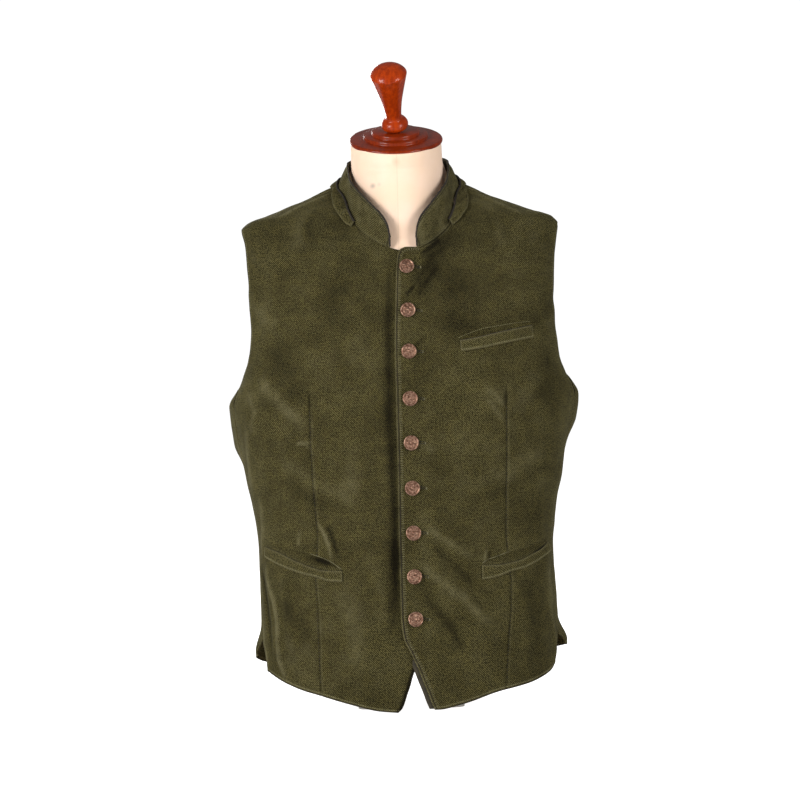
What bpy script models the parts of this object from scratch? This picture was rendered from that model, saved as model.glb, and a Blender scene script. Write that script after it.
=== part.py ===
"""A velvet waistcoat with a stand collar, worn by a limbless linen dress form.

Every size here is in millimetres, and the mesh builders turn them into metres. The wearer's left
is +X, the front faces -Y and +Z is up. An azimuth is an angle round the body in degrees: 0 at
the centre front, 90 at the wearer's left side, -90 at the right side and 180 at the centre back.
"""

import math

import bpy
from mathutils import Matrix, Vector
from mathutils.bvhtree import BVHTree

MM = 0.001

# Cloth
WALL = 2.2
SEAM_GAP = 0.8
SEAT_GAP = 0.3
LAYER_GAP = 0.8
CENTRE_TURN = 2.9
COLLAR_START = 10.8
PLACKET_GAP = 1.0
WELT_GAP = 0.8
COLLAR_GAP = 0.85
STAND_CROWN = 1.2
ROLL_START = 0.10
PLACKET_LIFT_FROM = 54.0
PLACKET_LIFT_FULL = 30.0
GIRTH_RADIUS = 170.0

# Mesh steps
PANEL_COLUMNS = 15
COLUMN_CROWDING = 0.35
VENT_ROWS = 2
SEAM_ROWS = 13
ARMHOLE_ROWS = 17
RIDGE_ROWS = 3
EDGE_ROWS = 22
BACK_UPPER_ROWS = 8
PANEL_ROWS = VENT_ROWS + SEAM_ROWS + ARMHOLE_ROWS
COLLAR_ROWS = 4
STAND_STEPS = 22
ROLL_STEPS = 17
ROLL_ROWS = 4
WELT_ROWS = 3
WELT_COLUMNS = 15
WELT_CROWDING = 1.4
RING_POINTS = 36
JOIN_SOFTNESS = 2.0

# Buttons
BUTTON_RADIUS = 9.8
BUTTON_HEIGHT = 4.6
BUTTON_FROM_CENTRE = 8.0
BUTTON_SEAT = 0.3
BUTTON_STEPS = 12

# Form
NECK_RADIUS_TOP = 60.5
CAP_TILT = 23.0
CAP_CENTRE = (-1.8, -12.0, 749.0)
CAP_STEPS = 32
HANDLE_STEPS = 24
HANDLE_LEAN_FORWARD = 40.0
HANDLE_LEAN_RIGHT = 5.0
BOARD_BOTTOM = 60.0
BOARD_THICKNESS = 11.7
TORSO_BOTTOM = 72.0
BOARD_INSET = 7.0
FOOT_RADIUS = 15.0
FOOT_PLACES = ((-55.0, -50.0), (55.0, -50.0), (-55.0, 70.0), (55.0, 70.0))
FOOT_STEPS = 12


class Table:
    """Rows of sizes in rising order of the first column, read along a smooth curve."""

    def __init__(self, columns, rows):
        self.columns = columns
        self.rows = rows
        self.places = [row[0] for row in rows]
        self.slopes = {name: self.find_slopes(name) for name in columns[1:]}

    def values(self, name):
        column = self.columns.index(name)
        return [row[column] for row in self.rows]

    def find_slopes(self, name):
        """Slopes that never overshoot: none at a turning point, a harmonic mean elsewhere."""
        values = self.values(name)
        steps = [b - a for a, b in zip(self.places, self.places[1:])]
        rises = [(b - a) / step for a, b, step in zip(values, values[1:], steps)]
        slopes = [rises[0]]
        for before, after in zip(rises, rises[1:]):
            level = before * after <= 0
            slopes.append(0.0 if level else 2 * before * after / (before + after))
        slopes.append(rises[-1])
        return slopes

    def read(self, place, name):
        place = min(max(place, self.places[0]), self.places[-1])
        row = 0
        while row < len(self.places) - 2 and place > self.places[row + 1]:
            row += 1
        step = self.places[row + 1] - self.places[row]
        t = (place - self.places[row]) / step
        values = self.values(name)
        slopes = self.slopes[name]
        start = values[row] * (1 + 2 * t) * (1 - t) ** 2 + slopes[row] * step * t * (1 - t) ** 2
        end = values[row + 1] * t * t * (3 - 2 * t) - slopes[row + 1] * step * t * t * (1 - t)
        return start + end


# The cloth's outer face at each height: half widths to the wearer's right and left, depths to
# the front and back, and how square the ring is (2 is an ellipse).
BODY = Table(
    ("height", "right", "left", "front", "back", "squareness"),
    (
        (0, 197, 200, 137, 118, 2.3),
        (60, 197, 200, 134, 117, 2.3),
        (125, 198, 198, 129, 113, 2.3),
        (207, 198.5, 195, 125, 106, 2.3),
        (239, 200.5, 198, 125, 107, 2.3),
        (271, 206, 202, 127, 110, 2.35),
        (303, 213, 209, 130, 115, 2.4),
        (335, 217, 213, 133, 122, 2.4),
        (367, 221, 219, 134, 128, 2.45),
        (400, 223, 223, 135, 133, 2.5),
        (424, 220, 220.5, 134, 136, 2.55),
        (436, 215.5, 216, 133, 137, 2.6),
        (460, 211, 211, 130, 138, 2.6),
        (498, 209.5, 209.5, 125, 137, 2.6),
        (530, 209.5, 209.5, 118, 134, 2.6),
        (561, 210.5, 210.5, 107, 129, 2.55),
        (598, 211.5, 211.5, 93, 119, 2.5),
        (619, 212.5, 212.5, 79.5, 110, 2.4),
        (636, 212, 212.5, 66, 101, 2.4),
        (646, 203.5, 205.5, 57.5, 95, 2.4),
        (656, 175, 177, 49.5, 89, 2.4),
        (667, 147, 147, 40, 82.5, 2.4),
        (676, 125, 122, 33, 78, 2.4),
        (686, 104, 102, 25.5, 73, 2.4),
        (692, 91, 90, 21, 71, 2.4),
        (700, 78, 78, 15, 68, 2.3),
        (708, 75.5, 75.5, 12, 65, 2.2),
        (716, 75, 75, 12, 62, 2.2),
        (730, 75, 75, 12, 60, 2.2),
    ),
)

# How far the form lies inside the cloth's outer face, at the sides and at the front and back
FORM_EASE = Table(
    ("height", "side", "front", "back"),
    (
        (60, 13, 11, 12),
        (200, 12, 10, 10),
        (300, 12, 8, 9),
        (400, 16, 6.5, 8),
        (440, 18, 6, 8),
        (540, 16, 5, 8),
        (600, 15, 4.2, 8),
        (636, 13, 3.9, 7.5),
        (656, 12.5, 4.6, 7),
        (676, 10.5, 4.8, 6.5),
        (700, 9, 4.6, 6),
        (712, 12, 4, 9),
        (730, 24, 4, 20),
        (752, 30, 4, 30),
    ),
)

# The neck's round section at each height, before it tilts towards the cap
NECK = Table(
    ("height", "radius", "centre_x", "centre_y"),
    (
        (560, 50, 1, -23),
        (600, 58, 1, -21),
        (650, 60, 0.7, -12),
        (700, 60.5, -0.3, -7.5),
        (716, 61, -1.2, -7.5),
        (CAP_CENTRE[2], NECK_RADIUS_TOP, CAP_CENTRE[0], CAP_CENTRE[1]),
    ),
)

# Where the collar is sewn to the body, by azimuth from the centre front
NECKLINE = Table(
    ("azimuth", "height"),
    (
        (0, 603),
        (10.8, 603.5),
        (16, 607),
        (24, 613.5),
        (34, 624),
        (43.6, 636),
        (53, 651.5),
        (62, 666),
        (75, 683),
        (90, 699),
        (117, 706),
        (143, 712),
        (180, 716),
    ),
)

# The collar's free edge, by azimuth from the centre front
COLLAR_TOP = Table(
    ("azimuth", "radius", "height"),
    (
        (10.8, 92.5, 620),
        (12.5, 91, 633),
        (16.6, 89.2, 645),
        (24, 87.7, 657.5),
        (34, 84.9, 671.5),
        (45, 81.2, 684),
        (58, 75.5, 696),
        (72, 69.8, 708),
        (90, 67.5, 722),
        (120, 67.5, 731),
        (147, 65, 736),
        (180, 63.5, 738),
    ),
)

# The outer roll of the collar: how far down the body its lower edge reaches, and its width
ROLL = Table(
    ("azimuth", "edge_azimuth", "edge_height", "puff"),
    (
        (43.6, 44.5, 632, 0.3),
        (48, 50, 637.5, 1.0),
        (53, 56.5, 647.3, 1.6),
        (62, 67, 663.5, 2.6),
        (75, 76, 679, 2.6),
        (83, 82.5, 689, 2.8),
        (90, 90, 692, 2.3),
        (117, 113, 694.5, 2.6),
        (143, 140, 697, 3.0),
        (180, 180, 699, 3.0),
    ),
)

# Front edges: how far each one lies from the middle, at each height
EDGE_OVER = Table(
    ("height", "x"),
    (
        (8, 29),
        (17.5, 25),
        (31, 20.4),
        (46.5, 14.4),
        (62, 9),
        (71, 4.7),
        (85, -1.3),
        (98, -7.5),
        (125, -10.6),
        (200, -11),
        (340, -10),
        (460, -10),
        (545, -7),
        (588, -4.5),
        (597, -2.6),
        (602, 1),
        (604, 6),
    ),
)
EDGE_UNDER = Table(
    ("height", "x"),
    (
        (5, -17.4),
        (10, -12),
        (17, -8.8),
        (27, -5.4),
        (38, -1.2),
        (51, 2.6),
        (62, 7),
        (75, 11),
        (92, 15.5),
        (110, 18),
        (588, 19),
        (594, 17),
    ),
)

# Hem of each front: the height at each distance from the middle
HEM_OVER = Table(
    ("x", "height"),
    ((29, 8), (36.5, 8), (65, 13), (114, 27), (154, 34), (175, 41), (186, 47), (193, 57)),
)
HEM_UNDER = Table(
    ("x", "height"),
    ((17.4, 5), (40.5, 7), (82.6, 17), (119.5, 27), (143, 33), (172, 44), (187, 52)),
)

# Hem of the back, by azimuth from the centre front, on the wearer's right and left
HEM_BACK = Table(
    ("azimuth", "right", "left"),
    (
        (86, 66, 73),
        (92, 64, 72),
        (100, 55, 66),
        (120, 47, 52),
        (180, 45, 45),
    ),
)

# How far in front of the side line the side seam runs
SIDE_SEAM = Table(
    ("height", "forward"),
    ((40, 50), (70, 42), (97, 28), (200, 20), (340, 20), (400, 26), (434, 34)),
)
VENT_TOP = 97.0
BACK_VENT_FORWARD = 6.0
BACK_CORNER = 88.0
SEAM_TOP = {1: 434.0, -1: 425.0}

# The armhole's edge: how far in front of and behind the side line it lies
ARMHOLE_FRONT = Table(
    ("height", "right", "left"),
    (
        (434, 36, 36),
        (440, 36.5, 34.5),
        (448, 41, 34),
        (460, 49, 36.5),
        (476, 54.5, 43),
        (498, 56.5, 49),
        (530, 51.5, 48),
        (561, 45, 42),
        (598, 35, 31.5),
        (619, 25, 20.5),
        (635.5, 9, 8),
    ),
)
ARMHOLE_BACK = Table(
    ("height", "behind"),
    (
        (399, 10),
        (402, 20),
        (409, 31),
        (425, 45),
        (460, 60),
        (498, 66),
        (540, 64),
        (580, 55),
        (610, 40),
        (630, 20),
        (637, 6),
        (640, 0),
    ),
)

# Below each armhole a tab of the back climbs to the side seam's top. The back is planned with its
# tab's top at a lower height, and the tab is then raised towards the seam.
TAB_FROM = 240.0
TAB_TOP = 380.0
TAB_FADE_FROM = 410.0
TAB_FADE_TO = 470.0
TAB_END = 92.6
TAB_BEND = 1.3
BACK_EVEN_TO = 400.0

# The shoulder seam lies in front of the ridge
SHOULDER_FORWARD = 9.0
SHOULDER_TIP = 635.5
SHOULDER_NECK_AZIMUTH = 83.0
SHOULDER_NECK_HEIGHT = 691.3
SHOULDER_NECK_FORWARD = 11.2
SHOULDER_GAP = 1.4

# Soft folds: each runs from one place to another by azimuth and height
FOLDS = (
    # from azimuth, height, to azimuth, height, width, rise
    (-95, 352, -91, 406, 24, 11.0),
    (93, 378, 89, 412, 25, 11.0),
    (-93, 66, -91, 74, 24, 10.0),
    (93, 72, 91, 80, 20, 12.0),
    (-62, 165, -56, 62, 10, 2.6),
    (-50, 150, -47, 90, 12, -2.0),
    (-74, 405, -52, 372, 14, -2.6),
    (-70, 380, -46, 345, 12, 2.0),
    (-42, 420, -36, 380, 14, 2.2),
    (40, 425, 44, 330, 16, 2.0),
    (62, 300, 72, 190, 14, 2.4),
    (12, 200, 40, 112, 13, 2.6),
    (8, 150, 30, 70, 14, -2.4),
    (16, 255, 34, 205, 12, 1.8),
    (-14, 330, -9, 150, 13, -2.2),
    (-12, 560, -10, 400, 14, -1.8),
    (-64, 640, -50, 600, 12, 1.8),
    (62, 650, 46, 600, 12, 1.8),
    (58, 130, 66, 80, 12, 2.2),
    (-112, 330, -140, 250, 15, 2.4),
    (112, 340, 138, 255, 15, 2.2),
    (-118, 250, -150, 205, 13, -2.4),
    (120, 260, 152, 210, 13, -2.2),
    (-150, 420, -140, 330, 16, 2.0),
    (150, 430, 143, 335, 16, 2.2),
    (-128, 150, -122, 60, 15, 3.0),
    (126, 165, 131, 60, 15, 2.6),
    (-160, 140, -163, 55, 14, 2.4),
    (158, 150, 156, 55, 14, -2.2),
    (-120, 470, -146, 520, 15, 2.0),
    (122, 480, 150, 525, 15, 1.8),
)

# Pocket welts: the lower edge's ends and sag, seen from the front, and the height of the band
WELTS = (
    # name, front, inner x, z, outer x, z, sag, band
    ("welt_chest", "front_left", 76, 462.5, 173, 486, -2.0, 13.0),
    ("welt_left", "front_left", 106, 174, 191, 206, -5.0, 16.5),
    ("welt_right", "front_right", -79, 169, -177, 200, -4.0, 15.0),
)

# Buttons: heights of their centres
BUTTON_HEIGHTS = (577.0, 520.0, 467.0, 406.5, 350.0, 292.0, 234.0, 178.0, 123.5)


def clear_scene():
    for thing in list(bpy.data.objects):
        bpy.data.objects.remove(thing, do_unlink=True)


def make_collection(name):
    collection = bpy.data.collections.new(name)
    bpy.context.scene.collection.children.link(collection)
    return collection


def make_material(name, colour, roughness, metallic=0.0):
    material = bpy.data.materials.new(name)
    material.use_nodes = True
    shader = material.node_tree.nodes["Principled BSDF"]
    shader.inputs["Base Color"].default_value = (*colour, 1.0)
    shader.inputs["Roughness"].default_value = roughness
    shader.inputs["Metallic"].default_value = metallic
    return material


def body_radius(azimuth, height):
    """Distance from the upright axis to the smooth body, before folds."""
    side = math.sin(math.radians(azimuth))
    fore = math.cos(math.radians(azimuth))
    width = BODY.read(height, "left" if side > 0 else "right")
    depth = BODY.read(height, "front" if fore > 0 else "back")
    power = BODY.read(height, "squareness")
    return (abs(side / width) ** power + abs(fore / depth) ** power) ** (-1 / power)


def fold_rise(azimuth, height):
    """Sum of the soft folds at a place, each fading with the distance from its line."""
    rise = 0.0
    along = math.radians(azimuth) * GIRTH_RADIUS
    for start_azimuth, start_height, end_azimuth, end_height, width, peak in FOLDS:
        start = Vector((math.radians(start_azimuth) * GIRTH_RADIUS, start_height))
        run = Vector((math.radians(end_azimuth) * GIRTH_RADIUS, end_height)) - start
        offset = Vector((along, height)) - start
        t = min(max(offset.dot(run) / run.length_squared, 0.0), 1.0)
        distance = (offset - run * t).length
        rise += peak * math.exp(-((distance / width) ** 2))
    return rise


def body_point(azimuth, height, lift=0.0):
    """Place on the cloth's outer face, with its folds."""
    wrapped = (azimuth + 180) % 360 - 180
    radius = body_radius(wrapped, height) + fold_rise(wrapped, height) + lift
    angle = math.radians(azimuth)
    return Vector((radius * math.sin(angle), -radius * math.cos(angle), height))


def body_normal(azimuth, height, lift=0.0):
    """Outward direction of the cloth at a place."""
    step = 0.5
    round_the_body = body_point(azimuth + step, height, lift) - body_point(azimuth - step, height, lift)
    upwards = body_point(azimuth, height + step, lift) - body_point(azimuth, height - step, lift)
    return round_the_body.cross(upwards).normalized()


def azimuth_at(x, height):
    """Azimuth of the place on the front that lies at x."""
    width = BODY.read(height, "left" if x > 0 else "right")
    depth = BODY.read(height, "front")
    power = BODY.read(height, "squareness")
    share = min(abs(x) / width, 1.0)
    y = depth * (1 - share**power) ** (1 / power)
    return math.degrees(math.atan2(x, y))


def azimuth_forward(side, forward, height):
    """Azimuth of the place that lies a distance in front of the side line, or behind it."""
    width = BODY.read(height, "left" if side > 0 else "right")
    depth = BODY.read(height, "front" if forward > 0 else "back")
    power = BODY.read(height, "squareness")
    share = min(abs(forward) / depth, 1.0)
    x = width * (1 - share**power) ** (1 / power)
    return side * math.degrees(math.atan2(x, forward))


def turned(azimuth):
    """Azimuth of a collar place, whose middle lies a little to the wearer's left at the front."""
    shift = CENTRE_TURN * max(1 - abs(azimuth) / 90, 0.0)
    return azimuth + shift


def smooth_step(value):
    t = min(max(value, 0.0), 1.0)
    return t * t * (3 - 2 * t)


def placket_lift(x):
    """How far the upper front stands off, where it lies on the lower one."""
    share = (PLACKET_LIFT_FROM - x) / (PLACKET_LIFT_FROM - PLACKET_LIFT_FULL)
    return (WALL + PLACKET_GAP) * smooth_step(share)


def polyline_place(points, t):
    """Place at a share of the length of a line of flat points."""
    lengths = [(b - a).length for a, b in zip(points, points[1:])]
    left = t * sum(lengths)
    for start, end, length in zip(points, points[1:], lengths):
        if left <= length or end is points[-1]:
            return start.lerp(end, min(left / length, 1.0))
        left -= length


def places_along(*stretches):
    """Places along a boundary whose stretches are each cut into their own number of steps."""
    places = [stretches[0][0][0]]
    for points, steps in stretches:
        places += [polyline_place(points, step / steps) for step in range(1, steps + 1)]
    return places


def column_share(column):
    """Share of a panel's width at a column; the columns are closer together at both edges."""
    even = column / PANEL_COLUMNS
    return even - COLUMN_CROWDING * math.sin(2 * math.pi * even) / (2 * math.pi)


def places_across(points):
    """Places along a hem, one for each column."""
    return [polyline_place(points, column_share(column)) for column in range(PANEL_COLUMNS + 1)]


def heights_between(low, high, steps):
    return [low + (high - low) * step / steps for step in range(steps + 1)]


def flat(azimuth, height):
    """Place in the flat plan where azimuths become lengths."""
    return Vector((math.radians(azimuth) * GIRTH_RADIUS, height))


def neckline(side, start, end, steps=24):
    """Line along the neckline from one azimuth to another."""
    places = []
    for step in range(steps + 1):
        azimuth = start + (end - start) * step / steps
        height = NECKLINE.read(azimuth, "height")
        places.append(flat(turned(side * azimuth), height))
    return places


def gap_azimuth(azimuth, height, gap):
    """Angle that half a seam's gap takes up at a place."""
    return math.degrees(gap / 2 / body_radius(azimuth, height))


def tab_share(plan_height):
    """How fully the tab below the armhole is raised, at a height of the plan."""
    climb = smooth_step((plan_height - TAB_FROM) / (TAB_TOP - TAB_FROM))
    fade = 1 - smooth_step((plan_height - TAB_FADE_FROM) / (TAB_FADE_TO - TAB_FADE_FROM))
    return climb * fade


def seam_height(side, plan_height):
    """Height of the side seam at a height of the plan."""
    return plan_height + (SEAM_TOP[side] - TAB_TOP) * tab_share(plan_height)


def seam_azimuth(side, height):
    return azimuth_forward(side, SIDE_SEAM.read(height, "forward"), height)


def seam_places(side, plan_heights, towards_back):
    """Line up the side seam, moved aside by half the seam's gap."""
    places = []
    for plan_height in plan_heights:
        height = seam_height(side, plan_height)
        azimuth = seam_azimuth(side, height)
        aside = side * towards_back * gap_azimuth(azimuth, height, SEAM_GAP)
        places.append(flat(azimuth + aside, height))
    return places


def shoulder_places(side, towards_back):
    """Line down the shoulder seam, from the neck to the tip."""
    places = []
    for column in range(PANEL_COLUMNS + 1):
        share = column_share(column)
        height = SHOULDER_NECK_HEIGHT * (1 - share) + SHOULDER_TIP * share
        forward = SHOULDER_NECK_FORWARD * (1 - share) + SHOULDER_FORWARD * share
        forward -= towards_back * SHOULDER_GAP / 2
        places.append(flat(azimuth_forward(side, forward, height), height))
    return places


def front_lines(side):
    """The four boundary lines of a front, in the flat plan."""
    edge, hem = (EDGE_OVER, HEM_OVER) if side > 0 else (EDGE_UNDER, HEM_UNDER)
    edge_places = []
    for height in heights_between(edge.places[0], edge.places[-1], 60):
        edge_places.append(flat(azimuth_at(edge.read(height, "x"), height), height))
    top = shoulder_places(side, -1)
    neck = neckline(side, COLLAR_START, SHOULDER_NECK_AZIMUTH)
    neck[-1] = top[0]
    edge_places.append(neck[0])
    inner = places_along((edge_places, EDGE_ROWS), (neck, PANEL_ROWS - EDGE_ROWS))
    vent = seam_places(side, heights_between(hem.rows[-1][1], VENT_TOP, 8), -1)
    seam = seam_places(side, heights_between(VENT_TOP, TAB_TOP, SEAM_ROWS), -1)
    arm = [seam[-1]]
    for height in heights_between(SEAM_TOP[side], SHOULDER_TIP, 40)[1:-1]:
        forward = ARMHOLE_FRONT.read(height, "left" if side > 0 else "right")
        arm.append(flat(azimuth_forward(side, forward, height), height))
    arm.append(top[-1])
    outer = places_along((vent, VENT_ROWS))[:-1] + seam + places_along((arm, ARMHOLE_ROWS))[1:]
    hem_places = []
    for x in heights_between(hem.places[0], hem.places[-1], 40):
        height = hem.read(x, "height")
        hem_places.append(flat(azimuth_at(side * x, height), height))
    hem_places[0] = inner[0]
    hem_places[-1] = outer[0]
    return inner, outer, places_across(hem_places), top


def back_vent(side, corner):
    """Line up the back's side edge, from the hem's corner to the vent's top."""
    places = []
    for height in heights_between(corner, VENT_TOP, 8):
        share = smooth_step((height - corner) / (VENT_TOP - corner))
        seam_forward = SIDE_SEAM.read(VENT_TOP, "forward")
        forward = BACK_VENT_FORWARD + (seam_forward - BACK_VENT_FORWARD) * share
        azimuth = azimuth_forward(side, forward, height)
        places.append(flat(azimuth + side * gap_azimuth(azimuth, height, SEAM_GAP), height))
    return places


def back_lines(side):
    """The four boundary lines of a half back, in a plan where its tab isn't raised yet."""
    hem_side = "left" if side > 0 else "right"
    centre = []
    for height in heights_between(HEM_BACK.read(180, hem_side), NECKLINE.read(180, "height"), 40):
        centre.append(flat(side * (180 - gap_azimuth(180, height, SEAM_GAP)), height))
    top = shoulder_places(side, 1)
    neck = neckline(side, 180, 90)
    neck[0] = centre[-1]
    over_ridge = neckline(side, 90, SHOULDER_NECK_AZIMUTH, 4)
    over_ridge[-1] = top[0]
    lower = [place for place in centre if place.y <= BACK_EVEN_TO]
    upper = [lower[-1]] + [place for place in centre if place.y > BACK_EVEN_TO]
    neck_rows = ARMHOLE_ROWS - BACK_UPPER_ROWS - RIDGE_ROWS
    inner = places_along((lower, VENT_ROWS + SEAM_ROWS), (upper, BACK_UPPER_ROWS))
    inner += places_along((neck, neck_rows), (over_ridge, RIDGE_ROWS))[1:]
    vent = back_vent(side, HEM_BACK.read(BACK_CORNER, hem_side))
    plan_heights = heights_between(VENT_TOP, TAB_TOP, SEAM_ROWS)
    seam = [
        flat(math.degrees(place.x / GIRTH_RADIUS), height)
        for place, height in zip(seam_places(side, plan_heights, 1), plan_heights)
    ]
    arm = [seam[-1]]
    for height in heights_between(ARMHOLE_BACK.places[0], ARMHOLE_BACK.places[-1], 60):
        behind = ARMHOLE_BACK.read(height, "behind")
        arm.append(flat(azimuth_forward(side, -behind, height), height))
    outer = places_along((vent, VENT_ROWS))[:-1] + seam
    outer += places_along((arm, ARMHOLE_ROWS - RIDGE_ROWS), ([arm[-1], top[-1]], RIDGE_ROWS))[1:]
    hem_places = []
    corner = abs(math.degrees(vent[0].x / GIRTH_RADIUS))
    for azimuth in heights_between(180, corner, 40):
        hem_places.append(flat(side * azimuth, HEM_BACK.read(azimuth, hem_side)))
    hem_places[0] = inner[0]
    hem_places[-1] = outer[0]
    return inner, outer, places_across(hem_places), top


def raised_place(side, place):
    """Takes a back's place from its plan to the real height, which climbs to the side seam."""
    azimuth = abs(math.degrees(place.x / GIRTH_RADIUS))
    seam = abs(seam_azimuth(side, seam_height(side, min(place.y, TAB_TOP))))
    share = min(max((TAB_END - azimuth) / (TAB_END - seam), 0.0), 1.0)
    rise = (SEAM_TOP[side] - TAB_TOP) * tab_share(place.y) * share**TAB_BEND
    return Vector((place.x, place.y + rise))


def blend_lines(lines):
    """Grid of flat places between four boundary lines."""
    inner, outer, bottom, top = lines
    grid = []
    for row in range(PANEL_ROWS + 1):
        t = row / PANEL_ROWS
        places = []
        for column in range(PANEL_COLUMNS + 1):
            s = column_share(column)
            corners = (inner[0] * (1 - s) + outer[0] * s) * (1 - t)
            corners += (inner[-1] * (1 - s) + outer[-1] * s) * t
            sides = inner[row] * (1 - s) + outer[row] * s
            places.append(sides + bottom[column] * (1 - t) + top[column] * t - corners)
        grid.append(places)
    return grid


def sheet_object(name, points, material, collection, thickness=WALL, offset=-1.0):
    """Open sheet through a grid of points, given its wall by a modifier."""
    columns = len(points[0])
    vertices = [point * MM for row in points for point in row]
    faces = []
    for row in range(len(points) - 1):
        for column in range(columns - 1):
            a = row * columns + column
            faces.append((a, a + 1, a + 1 + columns, a + columns))
    mesh = bpy.data.meshes.new(name)
    mesh.from_pydata(vertices, [], faces)
    mesh.materials.append(material)
    mesh.shade_smooth()
    thing = bpy.data.objects.new(name, mesh)
    collection.objects.link(thing)
    wall = thing.modifiers.new("Wall", "SOLIDIFY")
    wall.thickness = thickness * MM
    wall.offset = offset
    return thing


def panel_points(grid, lifted):
    points = []
    for row in grid:
        line = []
        for place in row:
            azimuth = math.degrees(place.x / GIRTH_RADIUS)
            lift = 0.0
            if lifted:
                lift = placket_lift(body_point(azimuth, place.y).x)
            line.append(body_point(azimuth, place.y, lift))
        points.append(line)
    return points


def make_panel(name, grid, material, collection):
    """A front or a half back, its faces turned outwards on either side of the body."""
    points = panel_points(grid, lifted=name == "front_left")
    first, last = points[PANEL_ROWS // 2][0], points[PANEL_ROWS // 2][-1]
    anticlockwise = first.cross(last).z > 0
    if not anticlockwise:
        points = [list(reversed(row)) for row in points]
    return sheet_object(name, points, material, collection)


def neckline_point(azimuth):
    """Place on the cloth's outer face at the neckline."""
    height = NECKLINE.read(abs(azimuth), "height")
    place = turned(azimuth)
    lift = placket_lift(body_point(place, height).x) if azimuth > 0 else 0.0
    return body_point(place, height, lift)


def collar_base(azimuth):
    """Place where the stand rises, clear of the body's edge by the collar's gap."""
    height = NECKLINE.read(abs(azimuth), "height")
    along = neckline_point(azimuth + 1) - neckline_point(azimuth - 1)
    towards_neck = body_normal(turned(azimuth), height).cross(along).normalized()
    return neckline_point(azimuth) + towards_neck * COLLAR_GAP


def collar_top(azimuth):
    radius = COLLAR_TOP.read(abs(azimuth), "radius")
    angle = math.radians(turned(azimuth))
    height = COLLAR_TOP.read(abs(azimuth), "height")
    return Vector((radius * math.sin(angle), -radius * math.cos(angle), height))


def collar_azimuths(start, steps):
    """Stations from the wearer's right end, round the back, to the left end."""
    half = [start + (180 - start) * (step / steps) ** 1.25 for step in range(steps + 1)]
    right = [-azimuth for azimuth in half]
    left = [azimuth for azimuth in reversed(half)]
    return right + left[1:]


def make_collar_stand(material, collection):
    stations = collar_azimuths(COLLAR_START, STAND_STEPS)
    points = []
    for row in range(COLLAR_ROWS + 1):
        t = row / COLLAR_ROWS
        line = []
        for station in stations:
            place = collar_base(station).lerp(collar_top(station), t)
            outwards = Vector((place.x, place.y, 0)).normalized()
            line.append(place + outwards * STAND_CROWN * math.sin(math.pi * t))
        points.append(line)
    points = [list(reversed(line)) for line in points]
    return sheet_object("collar_stand", points, material, collection)


def roll_line(station, steps):
    """Line across the roll, from the slit at the stand down to its free edge."""
    outwards_x = math.sin(math.radians(turned(station)))
    outwards = Vector((outwards_x, -math.cos(math.radians(turned(station))), 0))
    top = collar_base(station).lerp(collar_top(station), ROLL_START) + outwards * (WALL + STAND_CROWN)
    side = 1 if station > 0 else -1
    edge_azimuth = side * ROLL.read(abs(station), "edge_azimuth")
    edge_height = ROLL.read(abs(station), "edge_height")
    edge_azimuth = turned(edge_azimuth)
    normal = body_normal(edge_azimuth, edge_height)
    edge = body_point(edge_azimuth, edge_height) + normal * (WALL + LAYER_GAP)
    puff = ROLL.read(abs(station), "puff")
    middle_out = (outwards + Vector((0, 0, 0.8))).normalized()
    line = []
    for step in range(steps + 1):
        t = step / steps
        line.append(top.lerp(edge, t) + middle_out * puff * math.sin(math.pi * t) ** 0.8)
    return line


def make_collar_roll(material, collection):
    stations = collar_azimuths(ROLL.places[0], ROLL_STEPS)
    lines = [roll_line(station, ROLL_ROWS) for station in stations]
    points = [[line[row] for line in lines] for row in range(len(lines[0]))]
    return sheet_object("collar_roll", points, material, collection)


def surface_tree(thing):
    """Search tree over an object as its modifiers leave it."""
    graph = bpy.context.evaluated_depsgraph_get()
    return BVHTree.FromObject(thing, graph)


def front_hit(tree, x, height):
    """Place and outward direction of a front's face, seen from straight ahead."""
    place, normal, _, _ = tree.ray_cast(Vector((x * MM, -1.0, height * MM)), Vector((0, 1, 0)))
    return place / MM, normal


def make_welt(name, tree, sizes, material, collection):
    """Band of cloth lying on a front, along a slanting line."""
    inner_x, inner_z, outer_x, outer_z, sag, band = sizes
    run = Vector((outer_x - inner_x, outer_z - inner_z))
    across = Vector((-run.y, run.x)).normalized()
    if across.y < 0:
        across = -across
    points = []
    for row in range(WELT_ROWS + 1):
        line = []
        for column in range(WELT_COLUMNS + 1):
            t = 1 - (1 - column / WELT_COLUMNS) ** WELT_CROWDING
            flat_place = Vector((inner_x, inner_z)) + run * t
            flat_place.y += sag * math.sin(math.pi * t)
            flat_place += across * band * row / WELT_ROWS
            place, normal = front_hit(tree, flat_place.x, flat_place.y)
            line.append(place + normal * WELT_GAP)
        points.append(line)
    if inner_x > outer_x:
        points = [list(reversed(line)) for line in points]
    return sheet_object(name, points, material, collection, thickness=WALL, offset=1.0)


def turned_object(name, profile, steps, material, collection):
    """Turned piece from a half outline of radii and heights, top to bottom."""
    mesh = bpy.data.meshes.new(name)
    vertices = [(radius * MM, 0, height * MM) for radius, height in profile]
    mesh.from_pydata(vertices, [(i, i + 1) for i in range(len(vertices) - 1)], [])
    mesh.materials.append(material)
    thing = bpy.data.objects.new(name, mesh)
    collection.objects.link(thing)
    screw = thing.modifiers.new("Turning", "SCREW")
    screw.steps = steps
    screw.render_steps = steps
    screw.use_merge_vertices = True
    screw.merge_threshold = 0.00001
    screw.use_smooth_shade = True
    return thing


def arc_places(centre, radius, start, end, steps, flatten=1.0):
    """Places along an arc, by angle from the outward direction."""
    places = []
    for step in range(steps + 1):
        angle = math.radians(start + (end - start) * step / steps)
        places.append(
            (centre[0] + radius * math.cos(angle), centre[1] + radius * flatten * math.sin(angle))
        )
    return places


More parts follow.
